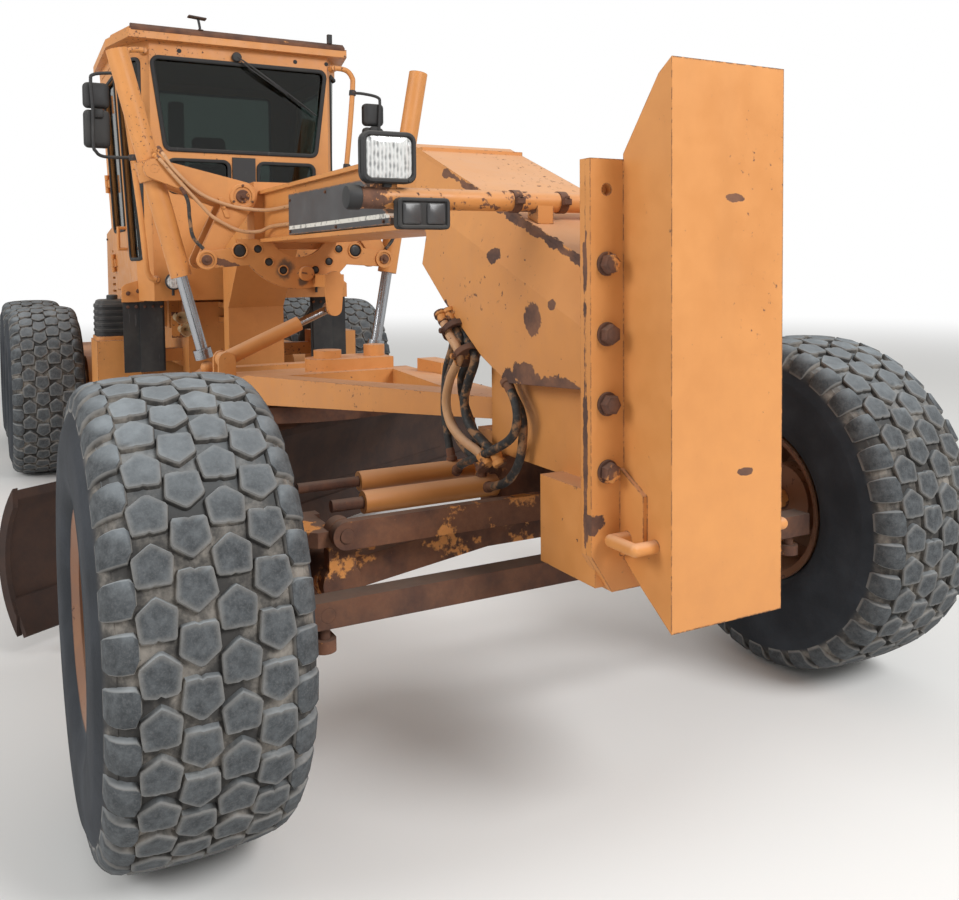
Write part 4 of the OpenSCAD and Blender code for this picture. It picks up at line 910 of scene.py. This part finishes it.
# a rectangle with round corners, its long sides split for a bent wall
def windowOutline(a0, b0, a1, b1, r, split=1):
    out, fine = roundedShape([(a0, b0), (a1, b0), (a1, b1), (a0, b1)], r), []
    for i, p in enumerate(out):
        q = out[(i + 1) % len(out)]
        fine.append(p)
        if math.dist(p, q) > 0.08:
            fine += [(p[0] + (q[0] - p[0]) * k / split, p[1] + (q[1] - p[1]) * k / split)
                     for k in range(1, split)]
    return fine


def makeSeals():
    body, front = Shape(), lambda a, b, h: at(cab["front"] + h, a, b)
    (z0, z1), (w0, w1), (d0, d1), r = cab["shield"], cab["low"], cab["door"], cab["corner"]
    (foot, head), half, wide, lap = cab["shieldHalf"], cab["lowHalf"], cab["frameWide"], 0.01
    body.rim(roundedShape([(-foot, z0 - 0.012), (foot, z0 - 0.012), (head, z1 + 0.012),
                           (-head, z1 + 0.012)], 0.06), front, 0.03, 0.013)
    for s, side in ((-1, "right"), (1, "left")):
        y, (x0, x1, foot, head) = s * cab["lowMiddle"], cab["side"]
        body.rim(windowOutline(y - half, w0 - lap, y + half, w1 + lap, r), front, 0.026, 0.011)
        body.rim(windowOutline(x0, foot, x1, head, r, 16), onSide(s), 0.024, 0.011)
        door = Shape()
        door.rim(windowOutline(d0 + wide, cab["doorFoot"], d1 - wide, cab["doorTop"] - wide, r), onSide(s),
                 0.024, 0.011)
        door.piece(f"doorSeal{side.capitalize()}", sealRubber, f"door_{side}", "rubber", sharp=30)
    body.rim(windowOutline(-cab["backHalf"], w0 - lap, cab["backHalf"], z1 + lap, r),
             lambda a, b, h: at(cab["back"] - h, a, b), 0.026, 0.011)
    body.piece("windowSeals", sealRubber, "rear_frame", "rubber", sharp=30)


makeSeals()

wiper = {"foot": at(-4.14, -0.041, 3.235), "tip": at(-4.126, 0.33, 2.985),
         "blade": ((0.11, 3.15), (0.56, 2.845)), "bladeX": -4.14, "bow": 0.01, "steps": 8,
         # the two arms: shift of the foot, point between foot and tip, radius
         "arms": [((0.01, 0, 0), (-4.116, 0.1, 3.145), 0.0065),
                  ((0.006, 0.012, -0.02), (-4.12, 0.11, 3.115), 0.0045)]}
headerHoles = [(-0.449, 3.245), (0.408, 3.245), (0.655, 3.25)]  # y and z of the holes above the windscreen
roofStand = {"x": -4.15, "plate": -0.3, "pole": [(-0.3, 3.403), (-0.306, 3.445), (-0.314, 3.484)],
             "head": (-0.322, 3.484), "post": (-4.14, 0.675)}
# the outline of the strip along the roof's front edge: x, z
roofStrip = [(-4.16, 3.352), (-4.101, 3.352), (-4.099, 3.362), (-4.1, 3.372), (-4.142, 3.404), (-4.16, 3.404)]


def makeCabTrim():
    wipe, small, hole, strip = Shape(), Shape(), Shape(), Shape()
    foot, tip, (start, end), steps = wiper["foot"], wiper["tip"], wiper["blade"], wiper["steps"]
    wipe.lathe([(0.034, -0.024), (0.036, 0.0), (0.03, 0.01), (0.012, 0.014)], foot, forward, 24)
    for shift, between, radius in wiper["arms"]:
        wipe.tube(curve([foot + Vector(shift), at(*between), tip], 5), radius, 8)
    line = [Vector(start).lerp(Vector(end), k / steps) for k in range(steps + 1)]
    wipe.tube([at(wiper["bladeX"] + wiper["bow"] * math.sin(math.pi * k / steps), *p)
               for k, p in enumerate(line)], 0.006, 8)
    wipe.tube([at(wiper["bladeX"] - 0.009, *p) for p in (start, end)], 0.004, 6)
    for y, z in headerHoles:
        hole.lathe([(0.016, -0.001), (0.016, 0.0015), (0.01, 0.0018)], at(cab["front"], y, z), forward, 20)
    x, roof = roofStand["x"], cab["roof"]
    small.slab(roundOutline(0.05, 0.04, 0.008, 2), at(x, roofStand["plate"], roof), forward, sideways, 0.006,
               0.002)
    small.tube([at(x, y, z) for y, z in roofStand["pole"]], 0.009)
    small.slab(roundOutline(0.06, 0.128, 0.004, 2), at(x, *roofStand["head"]), forward, (0, 1, -0.08), 0.012)
    small.slab(roundOutline(0.03, 0.038, 0.006, 2), at(*roofStand["post"], roof), forward, sideways, 0.072)
    strip.slab(roofStrip, at(0, 0.785, 0), forward, upward, 1.57, 0.002)
    for s in (-1, 1):
        for x in cab["roofBolts"]:
            small.bolt(at(x, s * 0.7, roof), upward, 0.024, 15)
    wipe.piece("wiper", black, "rear_frame", "black")
    hole.piece("headerHoles", sealRubber, "rear_frame", "black")
    small.piece("roofStand", blackPaint, "rear_frame", "black")
    strip.piece("roofStrip", stripRust, "rear_frame", "steel")


makeCabTrim()

workLamp = {"x": -4.165, "y": 0.535, "z": 1.59, "r": 0.062}
flapBracket = {"x": -4.352, "y": (0.705, 0.86), "z": (1.44, 1.61), "bolts": ((0.745, 1.52), (0.815, 1.505))}
flapStrip = {"x": -4.355, "y": 0.585, "z": 1.405, "step": 0.058, "bolts": 5}


def makeUnderCab():
    shell, bowl, plate, nuts = Shape(), Shape(), Shape(), Shape()
    r, (y0, y1), (z0, z1) = workLamp["r"], flapBracket["y"], flapBracket["z"]
    for s in (-1, 1):
        spot = at(workLamp["x"], s * workLamp["y"], workLamp["z"])
        shell.lathe([(r * 0.45, 0), (r * 0.55, 0.015), (r * 0.95, 0.042), (r, 0.06), (r, 0.074),
                     (r * 0.9, 0.078), (r * 0.87, 0.07)], spot, forward)
        bowl.lathe([(r * 0.88, 0.066), (r * 0.8, 0.075), (r * 0.45, 0.081), (0.001, 0.083)], spot, forward)
        shell.tube([spot + Vector((0.03, 0, -r)), spot + Vector((0.03, 0, -r - 0.04))], 0.01)
        outline = [(y0, z0), (y1, z0), (y1, z0 + 0.11), (y1 - 0.03, z1 - 0.035), (y0, z1)]
        plate.slab(outline if s > 0 else [(-a, b) for a, b in outline[::-1]], at(flapBracket["x"], 0, 0),
                   sideways, upward, 0.014)
        for y, z in flapBracket["bolts"]:
            nuts.bolt(at(flapBracket["x"] + 0.014, s * y, z), forward, 0.022, 20 * y)
        for k in range(flapStrip["bolts"]):  # the strip that clamps the flap
            y = s * (flapStrip["y"] + flapStrip["step"] * k)
            nuts.bolt(at(flapStrip["x"], y, flapStrip["z"]), forward, 0.018, 37 * k)
    shell.piece("workLampShells", black, "rear_frame", "black")
    bowl.piece("workLampBowls", lens, "rear_frame", "glass")
    plate.piece("flapBrackets", paint, "rear_frame", "paint")
    nuts.piece("flapBolts", rust, "rear_frame", "steel")


makeUnderCab()

horn = {"x": -4.62, "spots": ((-0.419, 1.307, 0.047), (-0.384, 1.214, 0.049)), "long": 0.17}


def makeHorns():
    trumpets, holder = Shape(), Shape()
    d = horn["long"]
    for y, z, r in horn["spots"]:
        spot = at(horn["x"], y, z)
        trumpets.lathe([(0.01, 0), (0.011, d * 0.25), (0.014, d * 0.5), (0.022, d * 0.75),
                        (r * 0.72, d * 0.92), (r, d), (r + 0.002, d + 0.003), (r - 0.002, d + 0.004),
                        (r * 0.66, d * 0.9), (0.014, d * 0.72), (0.006, d * 0.5)], spot, forward)
        trumpets.lathe([(0.02, -0.04), (0.032, -0.036), (0.034, -0.012), (0.02, -0.004), (0.011, 0.002)],
                       spot, forward, 28)
        holder.bolt(at(horn["x"] - 0.006, y, z + 0.03), (0, -1, 0), 0.016)
    holder.slab([(-0.11, -0.115), (0.0, -0.115), (0.0, 0.085), (-0.11, 0.085)],
                at(horn["x"] - 0.04, -0.35, 1.26), sideways, upward, 0.008, 0.002)
    trumpets.piece("hornTrumpets", cream, "rear_frame", "paint")
    holder.piece("hornHolder", rust, "rear_frame", "steel")


makeHorns()
print("cab parts made")

# pins, bosses and bolts of the lift linkage

linkPins = [(-2.875, 0.34, 2.12, 0.078), (-2.845, 0.569, 1.734, 0.06)]  # x, y, z, radius
barFront = -2.845  # x of the index bar's front face
holeArc = {"middle": 1.95, "radius": 0.3, "angles": (-150, -130, -110, -70, -50, -30)}
openHole = (barFront, 0.371, 1.79, 0.04)  # the bored eye beside the arm's foot
barPin = at(barFront, 0.04, 1.646)


def makeLinkPins():
    rings, heads, holeFill = Shape(), Shape(), Shape()
    for s in (-1, 1):
        for x, y, z, r in linkPins:
            spot = at(x, s * y, z)
            rings.lathe([(r, -0.001), (r, 0.008), (r * 0.96, 0.011), (r * 0.74, 0.011), (r * 0.7, 0.004)],
                        spot, forward, 40)
            heads.lathe([(r * 0.52, 0), (r * 0.52, 0.012), (r * 0.47, 0.016), (r * 0.2, 0.017)], spot,
                        forward)
            heads.bolt(spot + Vector((0.016, 0, 0)), forward, r * 0.36, 12)
        x, y, z, r = openHole
        rings.lathe([(r * 1.25, -0.001), (r * 1.25, 0.006), (r * 1.15, 0.009), (r, 0.008), (r * 0.97, 0.0)],
                    at(x, s * y, z), forward, 36)
        # a dark glossy disc fills each bore
        holeFill.lathe([(r * 0.98, 0.0005), (r * 0.5, 0.0012), (0.001, 0.0014)], at(x, s * y, z), forward, 28)
        x, y, z, r = linkPins[0]
        for t in (math.radians(90 + 120 * k) for k in range(3)):
            spot = at(x + 0.009, s * y + math.cos(t) * r * 0.84, z + math.sin(t) * r * 0.84)
            heads.bolt(spot, forward, 0.014)
    rings.lathe([(0.047, 0), (0.047, 0.03), (0.043, 0.036), (0.02, 0.038), (0.001, 0.037)], barPin,
                forward)
    heads.tube([barPin + Vector(end) for end in ((0.034, -0.036, 0.006), (0.036, 0.036, -0.006))], 0.006)
    reach = holeArc["radius"]
    for t in (math.radians(angle) for angle in holeArc["angles"]):  # the holes the bar's pin can take
        spot = at(barFront, reach * math.cos(t), holeArc["middle"] + reach * math.sin(t))
        rings.lathe([(0.033, -0.001), (0.033, 0.002), (0.03, 0.004), (0.0255, 0.004), (0.0245, 0.0)], spot,
                    forward)
        holeFill.lathe([(0.0245, 0.0004), (0.012, 0.001), (0.001, 0.0012)], spot, forward, 28)
    rings.piece("pinBosses", paint, "front_frame", "paint")
    heads.piece("pinHeads", rust, "front_frame", "steel")
    holeFill.piece("boredEyes", holeFillFinish, "front_frame", "black")


makeLinkPins()
print("linkage pins made")


# hoses, pipes and cover plates of the front frame

hoseRoutes = {
    "right": [[(-0.235, 0.245, 1.575), (-0.16, 0.245, 1.508), (-0.06, 0.245, 1.44), (-0.025, 0.245, 1.39),
         (-0.085, 0.248, 1.34), (-0.136, 0.25, 1.29), (-0.122, 0.25, 1.206), (-0.04, 0.248, 1.09),
         (0.0, 0.245, 0.95)],
        [(0.15, 0.24, 1.35), (0.215, 0.24, 1.27), (0.268, 0.24, 1.215), (0.281, 0.24, 1.15),
         (0.254, 0.24, 1.047), (0.17, 0.24, 0.965), (0.034, 0.24, 0.918)]],
    "bundle": [[(-0.165, 0.285, 1.532), (-0.134, 0.286, 1.484), (-0.073, 0.286, 1.422), (-0.13, 0.286, 1.338),
         (-0.19, 0.284, 1.253), (-0.206, 0.28, 1.183), (-0.18, 0.276, 1.128), (-0.096, 0.27, 1.053),
         (0.006, 0.262, 1.01), (0.04, 0.258, 0.985)],
        [(-0.14, 0.258, 1.53), (-0.075, 0.262, 1.44), (0.004, 0.268, 1.372), (-0.048, 0.27, 1.277),
         (-0.077, 0.27, 1.205), (-0.045, 0.268, 1.131), (0.043, 0.262, 1.084), (0.12, 0.256, 1.052),
         (0.15, 0.252, 1.02)]],
    "painted": [[(-0.18, 0.312, 1.52), (-0.112, 0.312, 1.452), (-0.042, 0.306, 1.378), (-0.118, 0.304, 1.29),
         (-0.158, 0.302, 1.202), (-0.134, 0.298, 1.125), (-0.057, 0.29, 1.077), (0.05, 0.28, 1.046),
         (0.095, 0.272, 1.01)]],
    "both": [[(-0.12, 0.275, 1.5), (-0.155, 0.275, 1.4), (-0.208, 0.275, 1.31), (-0.228, 0.275, 1.17),
         (-0.2, 0.275, 1.06), (-0.17, 0.275, 0.978)],
        [(0.23, 0.275, 1.315), (0.29, 0.275, 1.255), (0.302, 0.275, 1.19), (0.255, 0.275, 1.125),
         (0.085, 0.275, 1.047), (-0.08, 0.275, 0.985), (-0.138, 0.275, 0.945)]]}
pipeRoutes = [
    [(-2.9, 0.825, 2.392), (-2.862, 0.8, 2.35), (-2.857, 0.755, 2.28), (-2.857, 0.655, 2.175),
     (-2.857, 0.57, 2.115), (-2.857, 0.47, 2.075), (-2.855, 0.37, 2.05), (-2.795, 0.262, 2.035),
     (-2.655, 0.226, 2.03), (-2.225, 0.224, 2.03)],
    [(-2.9, 0.845, 2.35), (-2.862, 0.815, 2.315), (-2.857, 0.74, 2.225), (-2.857, 0.6, 2.07),
     (-2.857, 0.515, 1.985), (-2.855, 0.37, 1.912), (-2.795, 0.265, 1.905), (-2.655, 0.226, 1.93),
     (-2.225, 0.224, 1.93)],
    [(-2.868, 0.7, 2.165), (-2.858, 0.668, 2.08), (-2.858, 0.66, 1.975), (-2.858, 0.642, 1.87),
     (-2.85, 0.585, 1.8)]]


hoseRadius = {"bundle": 0.0165, "plain": 0.015, "pipe": 0.011, "sleeve": 0.013}
pipeClips = {"x": -2.875, "spots": ((0.7, 2.2), (0.455, 2.05))}
bundleClamps = [((-0.112, -0.286, 1.462), (0.7, 0, -0.7)), ((-0.028, -0.284, 1.378), (0.75, 0, -0.66))]


# a hose or pipe with its crimped sleeves
def run(shape, ends, route, s, radius, sleeve, sides=14, both=True):
    path = curve([at(x, s * y, z) for x, y, z in route], 8)
    shape.tube(path, radius, sides)
    r = sleeve * 1.18
    for spot, toward in ((path[0], path[2]), (path[-1], path[-3]))[:2 if both else 1]:
        ends.lathe([(r * 1.25, -0.002), (r * 1.3, 0.014), (r, 0.016), (r * 1.06, 0.022), (r, 0.03),
                    (r * 1.06, 0.038), (r, 0.046), (sleeve * 1.01, 0.048)], spot, toward - spot, 16)


def makeHoses():
    soft, steel, ends, clips = Shape(), Shape(), Shape(), Shape()
    for s in (-1, 1):
        if s < 0:
            for kind, shape in (("bundle", soft), ("painted", steel)):
                for route in hoseRoutes[kind]:
                    run(shape, ends, route, s, hoseRadius["bundle"], hoseRadius["bundle"], 16)
        for route in (hoseRoutes["right"] if s < 0 else []) + hoseRoutes["both"]:
            run(soft, ends, route, s, hoseRadius["plain"], hoseRadius["sleeve"])
        for route, shape in zip(pipeRoutes, (steel, steel, soft)):
            run(shape, ends, route, s, hoseRadius["pipe"], hoseRadius["pipe"], both=False)
        for y, z in pipeClips["spots"]:  # clips that hold both pipes on the arm
            clips.slab(roundOutline(0.03, 0.13, 0.006, 2), at(pipeClips["x"], s * y, z), sideways,
                       (0, 0.35 * s, 1), 0.008, 0.002)
            clips.bolt(at(pipeClips["x"] + 0.007, s * y, z), forward, 0.016, 15)
    for (x, y, z), way in bundleClamps:
        ends.lathe([(0.046, -0.013), (0.05, -0.011), (0.05, 0.011), (0.046, 0.013), (0.043, 0.0)],
                   at(x, y, z), way, 28)
        ends.bolt(at(x, y - 0.05, z), (0, -1, 0), 0.018)
    soft.piece("noseHoses", hoseRubber, "front_frame", "rubber")
    steel.piece("armPipes", pipePaint, "front_frame", "paint")
    ends.piece("hoseEnds", rust, "front_frame", "steel")
    clips.piece("pipeClips", paint, "front_frame", "paint")


makeHoses()

# the outline of the beam's cover plate and its screws: x, z
coverPlate = [(-2.23, 1.866), (-0.79, 1.866), (-0.79, 1.9), (-1.11, 2.08), (-2.23, 2.09)]
coverScrews = [(-2.19, 2.055), (-2.19, 1.885), (-1.6, 2.06), (-1.15, 2.05), (-1.45, 1.882), (-0.85, 1.882)]


def makeCoverPlates():
    plates, screws = Shape(), Shape()
    for s in (-1, 1):
        outline = coverPlate if s < 0 else [(-x, z) for x, z in coverPlate[::-1]]
        plates.slab(outline, at(0, s * 0.2, 0), (-s, 0, 0), upward, 0.05, 0.004)
        for x, z in coverScrews:
            screws.bolt(at(x, s * 0.2495, z), (0, s, 0), 0.013, 40 * x)
    plates.piece("coverPlates", panelPaint, "front_frame", "black")
    screws.piece("coverScrews", rust, "front_frame", "steel")


makeCoverPlates()
print("hoses and covers made")

# the tank, the flaps and the lamps of the rear frame

ribbedTank = {"x": (-4.935, -4.61), "y": (0.765, 1.0), "z": (1.12, 1.452), "ribs": 5, "rib": 0.028}


def makeTank():
    shape, straps = Shape(), Shape()
    (x0, x1), (y0, y1), (z0, z1) = ribbedTank["x"], ribbedTank["y"], ribbedTank["z"]
    middle = at((x0 + x1) / 2, -(y0 + y1) / 2, 0)
    steps = [(z0, 0.9), (z0 + 0.012, 0.94), (z0 + 0.085, 0.955)]
    for k in range(ribbedTank["ribs"]):
        z, end, slim = z0 + 0.085 + k * 0.047, z0 + 0.085 + k * 0.047 + ribbedTank["rib"], 0.008 * k
        steps += [(z, 0.955), (z + 0.004, 0.995), (end - 0.004, 0.998 - slim), (end, 0.955 - slim)]
    steps += [(z1 - 0.03, 0.9), (z1 - 0.008, 0.84), (z1, 0.7), (z1 + 0.003, 0.3)]
    flat = roundOutline(x1 - x0, y1 - y0, 0.06, 6)
    shape.rings([[middle + Vector((p, q, z)) for p, q in scaled(flat, k)] for z, k in steps])
    shape.lathe([(0.04, 0), (0.04, 0.03), (0.034, 0.036), (0.012, 0.038)],
                at(x1 - 0.09, -(y0 + y1) / 2, z1), upward, 28)
    straps.rim(scaled(roundOutline(x1 - x0, y1 - y0, 0.055, 6), 1.03, 1.04),
               lambda a, b, h: middle + Vector((a, b, z0 + 0.03 + h)), 0.01, 0.03)
    shape.piece("ribbedTank", darkPlastic, "rear_frame", "black", sharp=30)
    straps.piece("tankCradle", roughPaint, "rear_frame", "paint")


makeTank()

flapSheet = {"x": -4.365, "y": (0.56, 0.85), "strip": (0.575, 0.735), "z": (0.925, 1.452), "thick": 0.01,
             "rows": 12, "columns": 8}


def makeFlaps():
    shape, rng = Shape(), random.Random(21)
    rows, columns, (z0, z1), x0 = [flapSheet[key] for key in ("rows", "columns", "z", "x")]
    thick = Vector((flapSheet["thick"], 0, 0))
    for s in (-1, 1):
        for (y0, y1), x, bow in ((flapSheet["y"], x0, 0.006), (flapSheet["strip"], x0 + 0.014, 0.004)):
            rings = []
            for down in (i / rows for i in range(rows + 1)):
                z, row = z1 + (z0 - z1) * down, []
                for y in (y0 + (y1 - y0) * k / columns for k in range(columns + 1)):
                    wave = bow * math.sin(24.0 * y + z * 5) + rng.uniform(-0.001, 0.001)
                    row.append(at(x + (z1 - z) ** 2 * 0.05 + wave * down, s * y, z))
                rings.append(row + [p - thick for p in row[::-1]])
            shape.rings(rings)
    shape.piece("rubberFlaps", rubber, "rear_frame", "rubber", replaces=("mud_flaps",), sharp=50)


makeFlaps()

tailLamp = {"x": -8.42, "y": (0.455, 0.33), "z": 1.07, "r": 0.055}
hoodTrim = {"y": 0.48, "handles": (-7.05, -6.3), "z": 1.4, "bolts": (-8.25, -7.02, -5.7),
            "boltHeights": (1.3, 2.0),
            "line": ((-0.07, 0.479), (-0.065, 0.508), (0, 0.512), (0.065, 0.508), (0.07, 0.479))}


def makeRearParts():
    shells, red, handles = Shape(), Shape(), Shape()
    r, wall, height = tailLamp["r"], hoodTrim["y"], hoodTrim["z"]
    for s in (-1, 1):
        for y in tailLamp["y"]:
            spot = at(tailLamp["x"], s * y, tailLamp["z"])
            shells.lathe([(r * 0.96, 0), (r, 0.006), (r, 0.022), (r * 0.93, 0.026), (r * 0.88, 0.02)], spot,
                         (-1, 0, 0), 28)
            red.lathe([(r * 0.89, 0.018), (r * 0.84, 0.026), (r * 0.5, 0.031), (0.001, 0.032)], spot,
                      (-1, 0, 0), 28)
        for x in hoodTrim["handles"]:
            handles.tube(curve([at(x + dx, s * y, height) for dx, y in hoodTrim["line"]], 5), 0.007, 8)
            for dx in (-0.07, 0.07):
                handles.lathe([(0.016, 0), (0.016, 0.003), (0.01, 0.005)], at(x + dx, s * wall, height),
                              (0, s, 0), 16)
        for x in hoodTrim["bolts"]:
            for z in hoodTrim["boltHeights"]:
                handles.bolt(at(x, s * wall, z), (0, s, 0), 0.02, 25 * z)
    shells.piece("tailLampShells", black, "rear_frame", "black")
    red.piece("tailLampLenses", redLens, "rear_frame", "glass")
    handles.piece("hoodHandles", blackPaint, "rear_frame", "black")


makeRearParts()
print("rear parts made")

# seat

seatMiddle = -5.025
# name, place from the seat's middle, height, size, lean in degrees, crown, the nodes it replaces
cushions = [("seatPan", 0.01, 1.925, (0.49, 0.5, 0.13), 0, 0.02, ("seat",)),
            ("seatBack", -0.225, 2.285, (0.57, 0.47, 0.11), 81.2, 0.016, ()),
            ("headRest", -0.3, 2.685, (0.215, 0.285, 0.075), 81.2, 0.012, ())]
# a cushion's rings: height as a share of its half thickness, width as a share of its own
cushionRings = [(-1.0, 0.55), (-0.98, 0.86), (-0.8, 0.965), (-0.35, 1.0), (-0.04, 0.985), (0.0, 0.965),
                (0.04, 0.985), (0.35, 1.0), (0.7, 0.955), (0.88, 0.86), (0.97, 0.7), (1.0, 0.45), (1.0, 0.12)]


# a crowned, seamed cushion with two channels across its top
def cushionPiece(name, middle, size, turn, crown, replaces):
    wide, deep, thick = size
    rings = []
    for h, k in cushionRings:
        ring = []
        for p, q in roundOutline(wide, deep, min(wide, deep) * 0.22, 7):
            corner = abs(p / (wide / 2)) * abs(q / (deep / 2))
            pull = 1.0 - 0.035 * (1 - corner) * (1 if abs(h) < 0.8 else 0)
            lift = crown * (1 - (k * k)) if h > 0 else 0.0
            channel = -0.01 * math.exp(-((abs(q * k) - deep * 0.2) / 0.01) ** 2) if h > 0.85 else 0.0
            ring.append((p * k * pull, q * k * pull, h * thick / 2 + lift + channel))
        rings.append([middle + turn @ Vector(v) for v in ring])
    shape = Shape()
    shape.rings(rings)
    made = shape.piece(name, seatCloth, "rear_frame", "seat", replaces=replaces, sharp=60)
    mod = made.modifiers.new("soft", "SUBSURF")
    mod.levels = mod.render_levels = 1


def makeSeat():
    x = seatMiddle
    for name, dx, z, size, lean, crown, replaces in cushions:
        turn = Matrix.Rotation(math.radians(lean), 3, "Y")
        cushionPiece(name, at(x + dx, 0, z), size, turn, crown, replaces)
    stand = Shape()
    stand.lathe([(0.12, 0), (0.12, 0.02), (0.095, 0.03), (0.09, 0.29), (0.11, 0.31), (0.11, 0.345)],
                at(x, 0, 1.497), upward)
    stand.slab(roundOutline(0.44, 0.44, 0.05, 3), at(x, 0, 1.838), forward, sideways, 0.024, 0.004)
    for s in (-1, 1):
        stand.tube([at(x - 0.262, s * 0.07, 2.5), at(x - 0.283, s * 0.07, 2.62)], 0.008)
        stand.tube(curve([at(x - 0.16, s * 0.231, 1.86), at(x - 0.255, s * 0.231, 1.9),
                          at(x - 0.285, s * 0.21, 2.02)], 5), 0.016)
    stand.piece("seatStand", darkCab, "rear_frame", "black")


makeSeat()
print("seat made")


# the floor and the light

lights = {"world": 0.6, "sky": (1.0, 0.99, 0.97, 1), "plain": (1, 1, 1, 1),
          "areas": [("keyLight", (13.0, 3.5, 9.0), (2.0, 0, 1.0), 5.0, 1250),
                    ("sideLight", (3.0, -12.0, 7.0), (0.0, 0, 1.2), 6.0, 800)]}


def link(tree, *pairs):
    for start, end in pairs:
        tree.links.new(start, end)


def makeFloor():  # pale, and white towards the horizon
    f = Finish("paleFloor", rough=0.8)
    far = f.length(f.place).ramp(9.0, 26.0)
    f.set("Base Color", f.mix(f.noise(0.8, 4) * 0.06, (0.8, 0.8, 0.79), (0.7, 0.7, 0.69)))
    camera, glossy, through = [f.node("LightPath", {}, pick=f"Is {kind} Ray")
                               for kind in ("Camera", "Glossy", "Transmission")]
    white, both = [f.tree.nodes.new("ShaderNode" + kind) for kind in ("Emission", "MixShader")]
    white.inputs[0].default_value = lights["plain"]
    f.plug(both.inputs[0], far * camera.high(glossy).high(through))
    link(f.tree, (f.shader.outputs[0], both.inputs[1]), (white.outputs[0], both.inputs[2]),
         (both.outputs[0], f.tree.nodes["Material Output"].inputs[0]))
    shape = Shape()
    rings = [[Vector((r * c, r * s, 0.0)) for c, s in around(64)] for r in (0.5, 6.0, 80.0)]
    shape.rings(rings, caps=False)
    shape.faces.append(tuple(range(64)))
    shape.piece("paleFloor", f.mat, None, None)


def makeLight():  # a soft sky, seen as plain white, and two round lamps
    world = bpy.data.worlds.new("softLight")
    bpy.context.scene.world = world
    world.use_nodes = True
    tree = world.node_tree
    sky = tree.nodes["Background"]
    plain, path, either, both = [tree.nodes.new("ShaderNode" + kind)
                                 for kind in ("Background", "LightPath", "Math", "MixShader")]
    sky.inputs[0].default_value, sky.inputs[1].default_value = lights["sky"], lights["world"]
    plain.inputs[0].default_value = lights["plain"]
    either.operation = "MAXIMUM"
    link(tree, (path.outputs["Is Camera Ray"], either.inputs[0]),
         (path.outputs["Is Transmission Ray"], either.inputs[1]), (either.outputs[0], both.inputs[0]),
         (sky.outputs[0], both.inputs[1]), (plain.outputs[0], both.inputs[2]),
         (both.outputs[0], tree.nodes["World Output"].inputs[0]))
    for name, spot, aim, size, power in lights["areas"]:
        data = bpy.data.lights.new(name, "AREA")
        data.shape, data.size, data.energy = "DISK", size, power
        lamp = bpy.data.objects.new(name, data)
        lamp.location = spot
        lamp.rotation_euler = (Vector(aim) - Vector(spot)).to_track_quat("-Z", "Y").to_euler()
        bpy.context.scene.collection.objects.link(lamp)


makeFloor()
makeLight()
print("stage and light made")
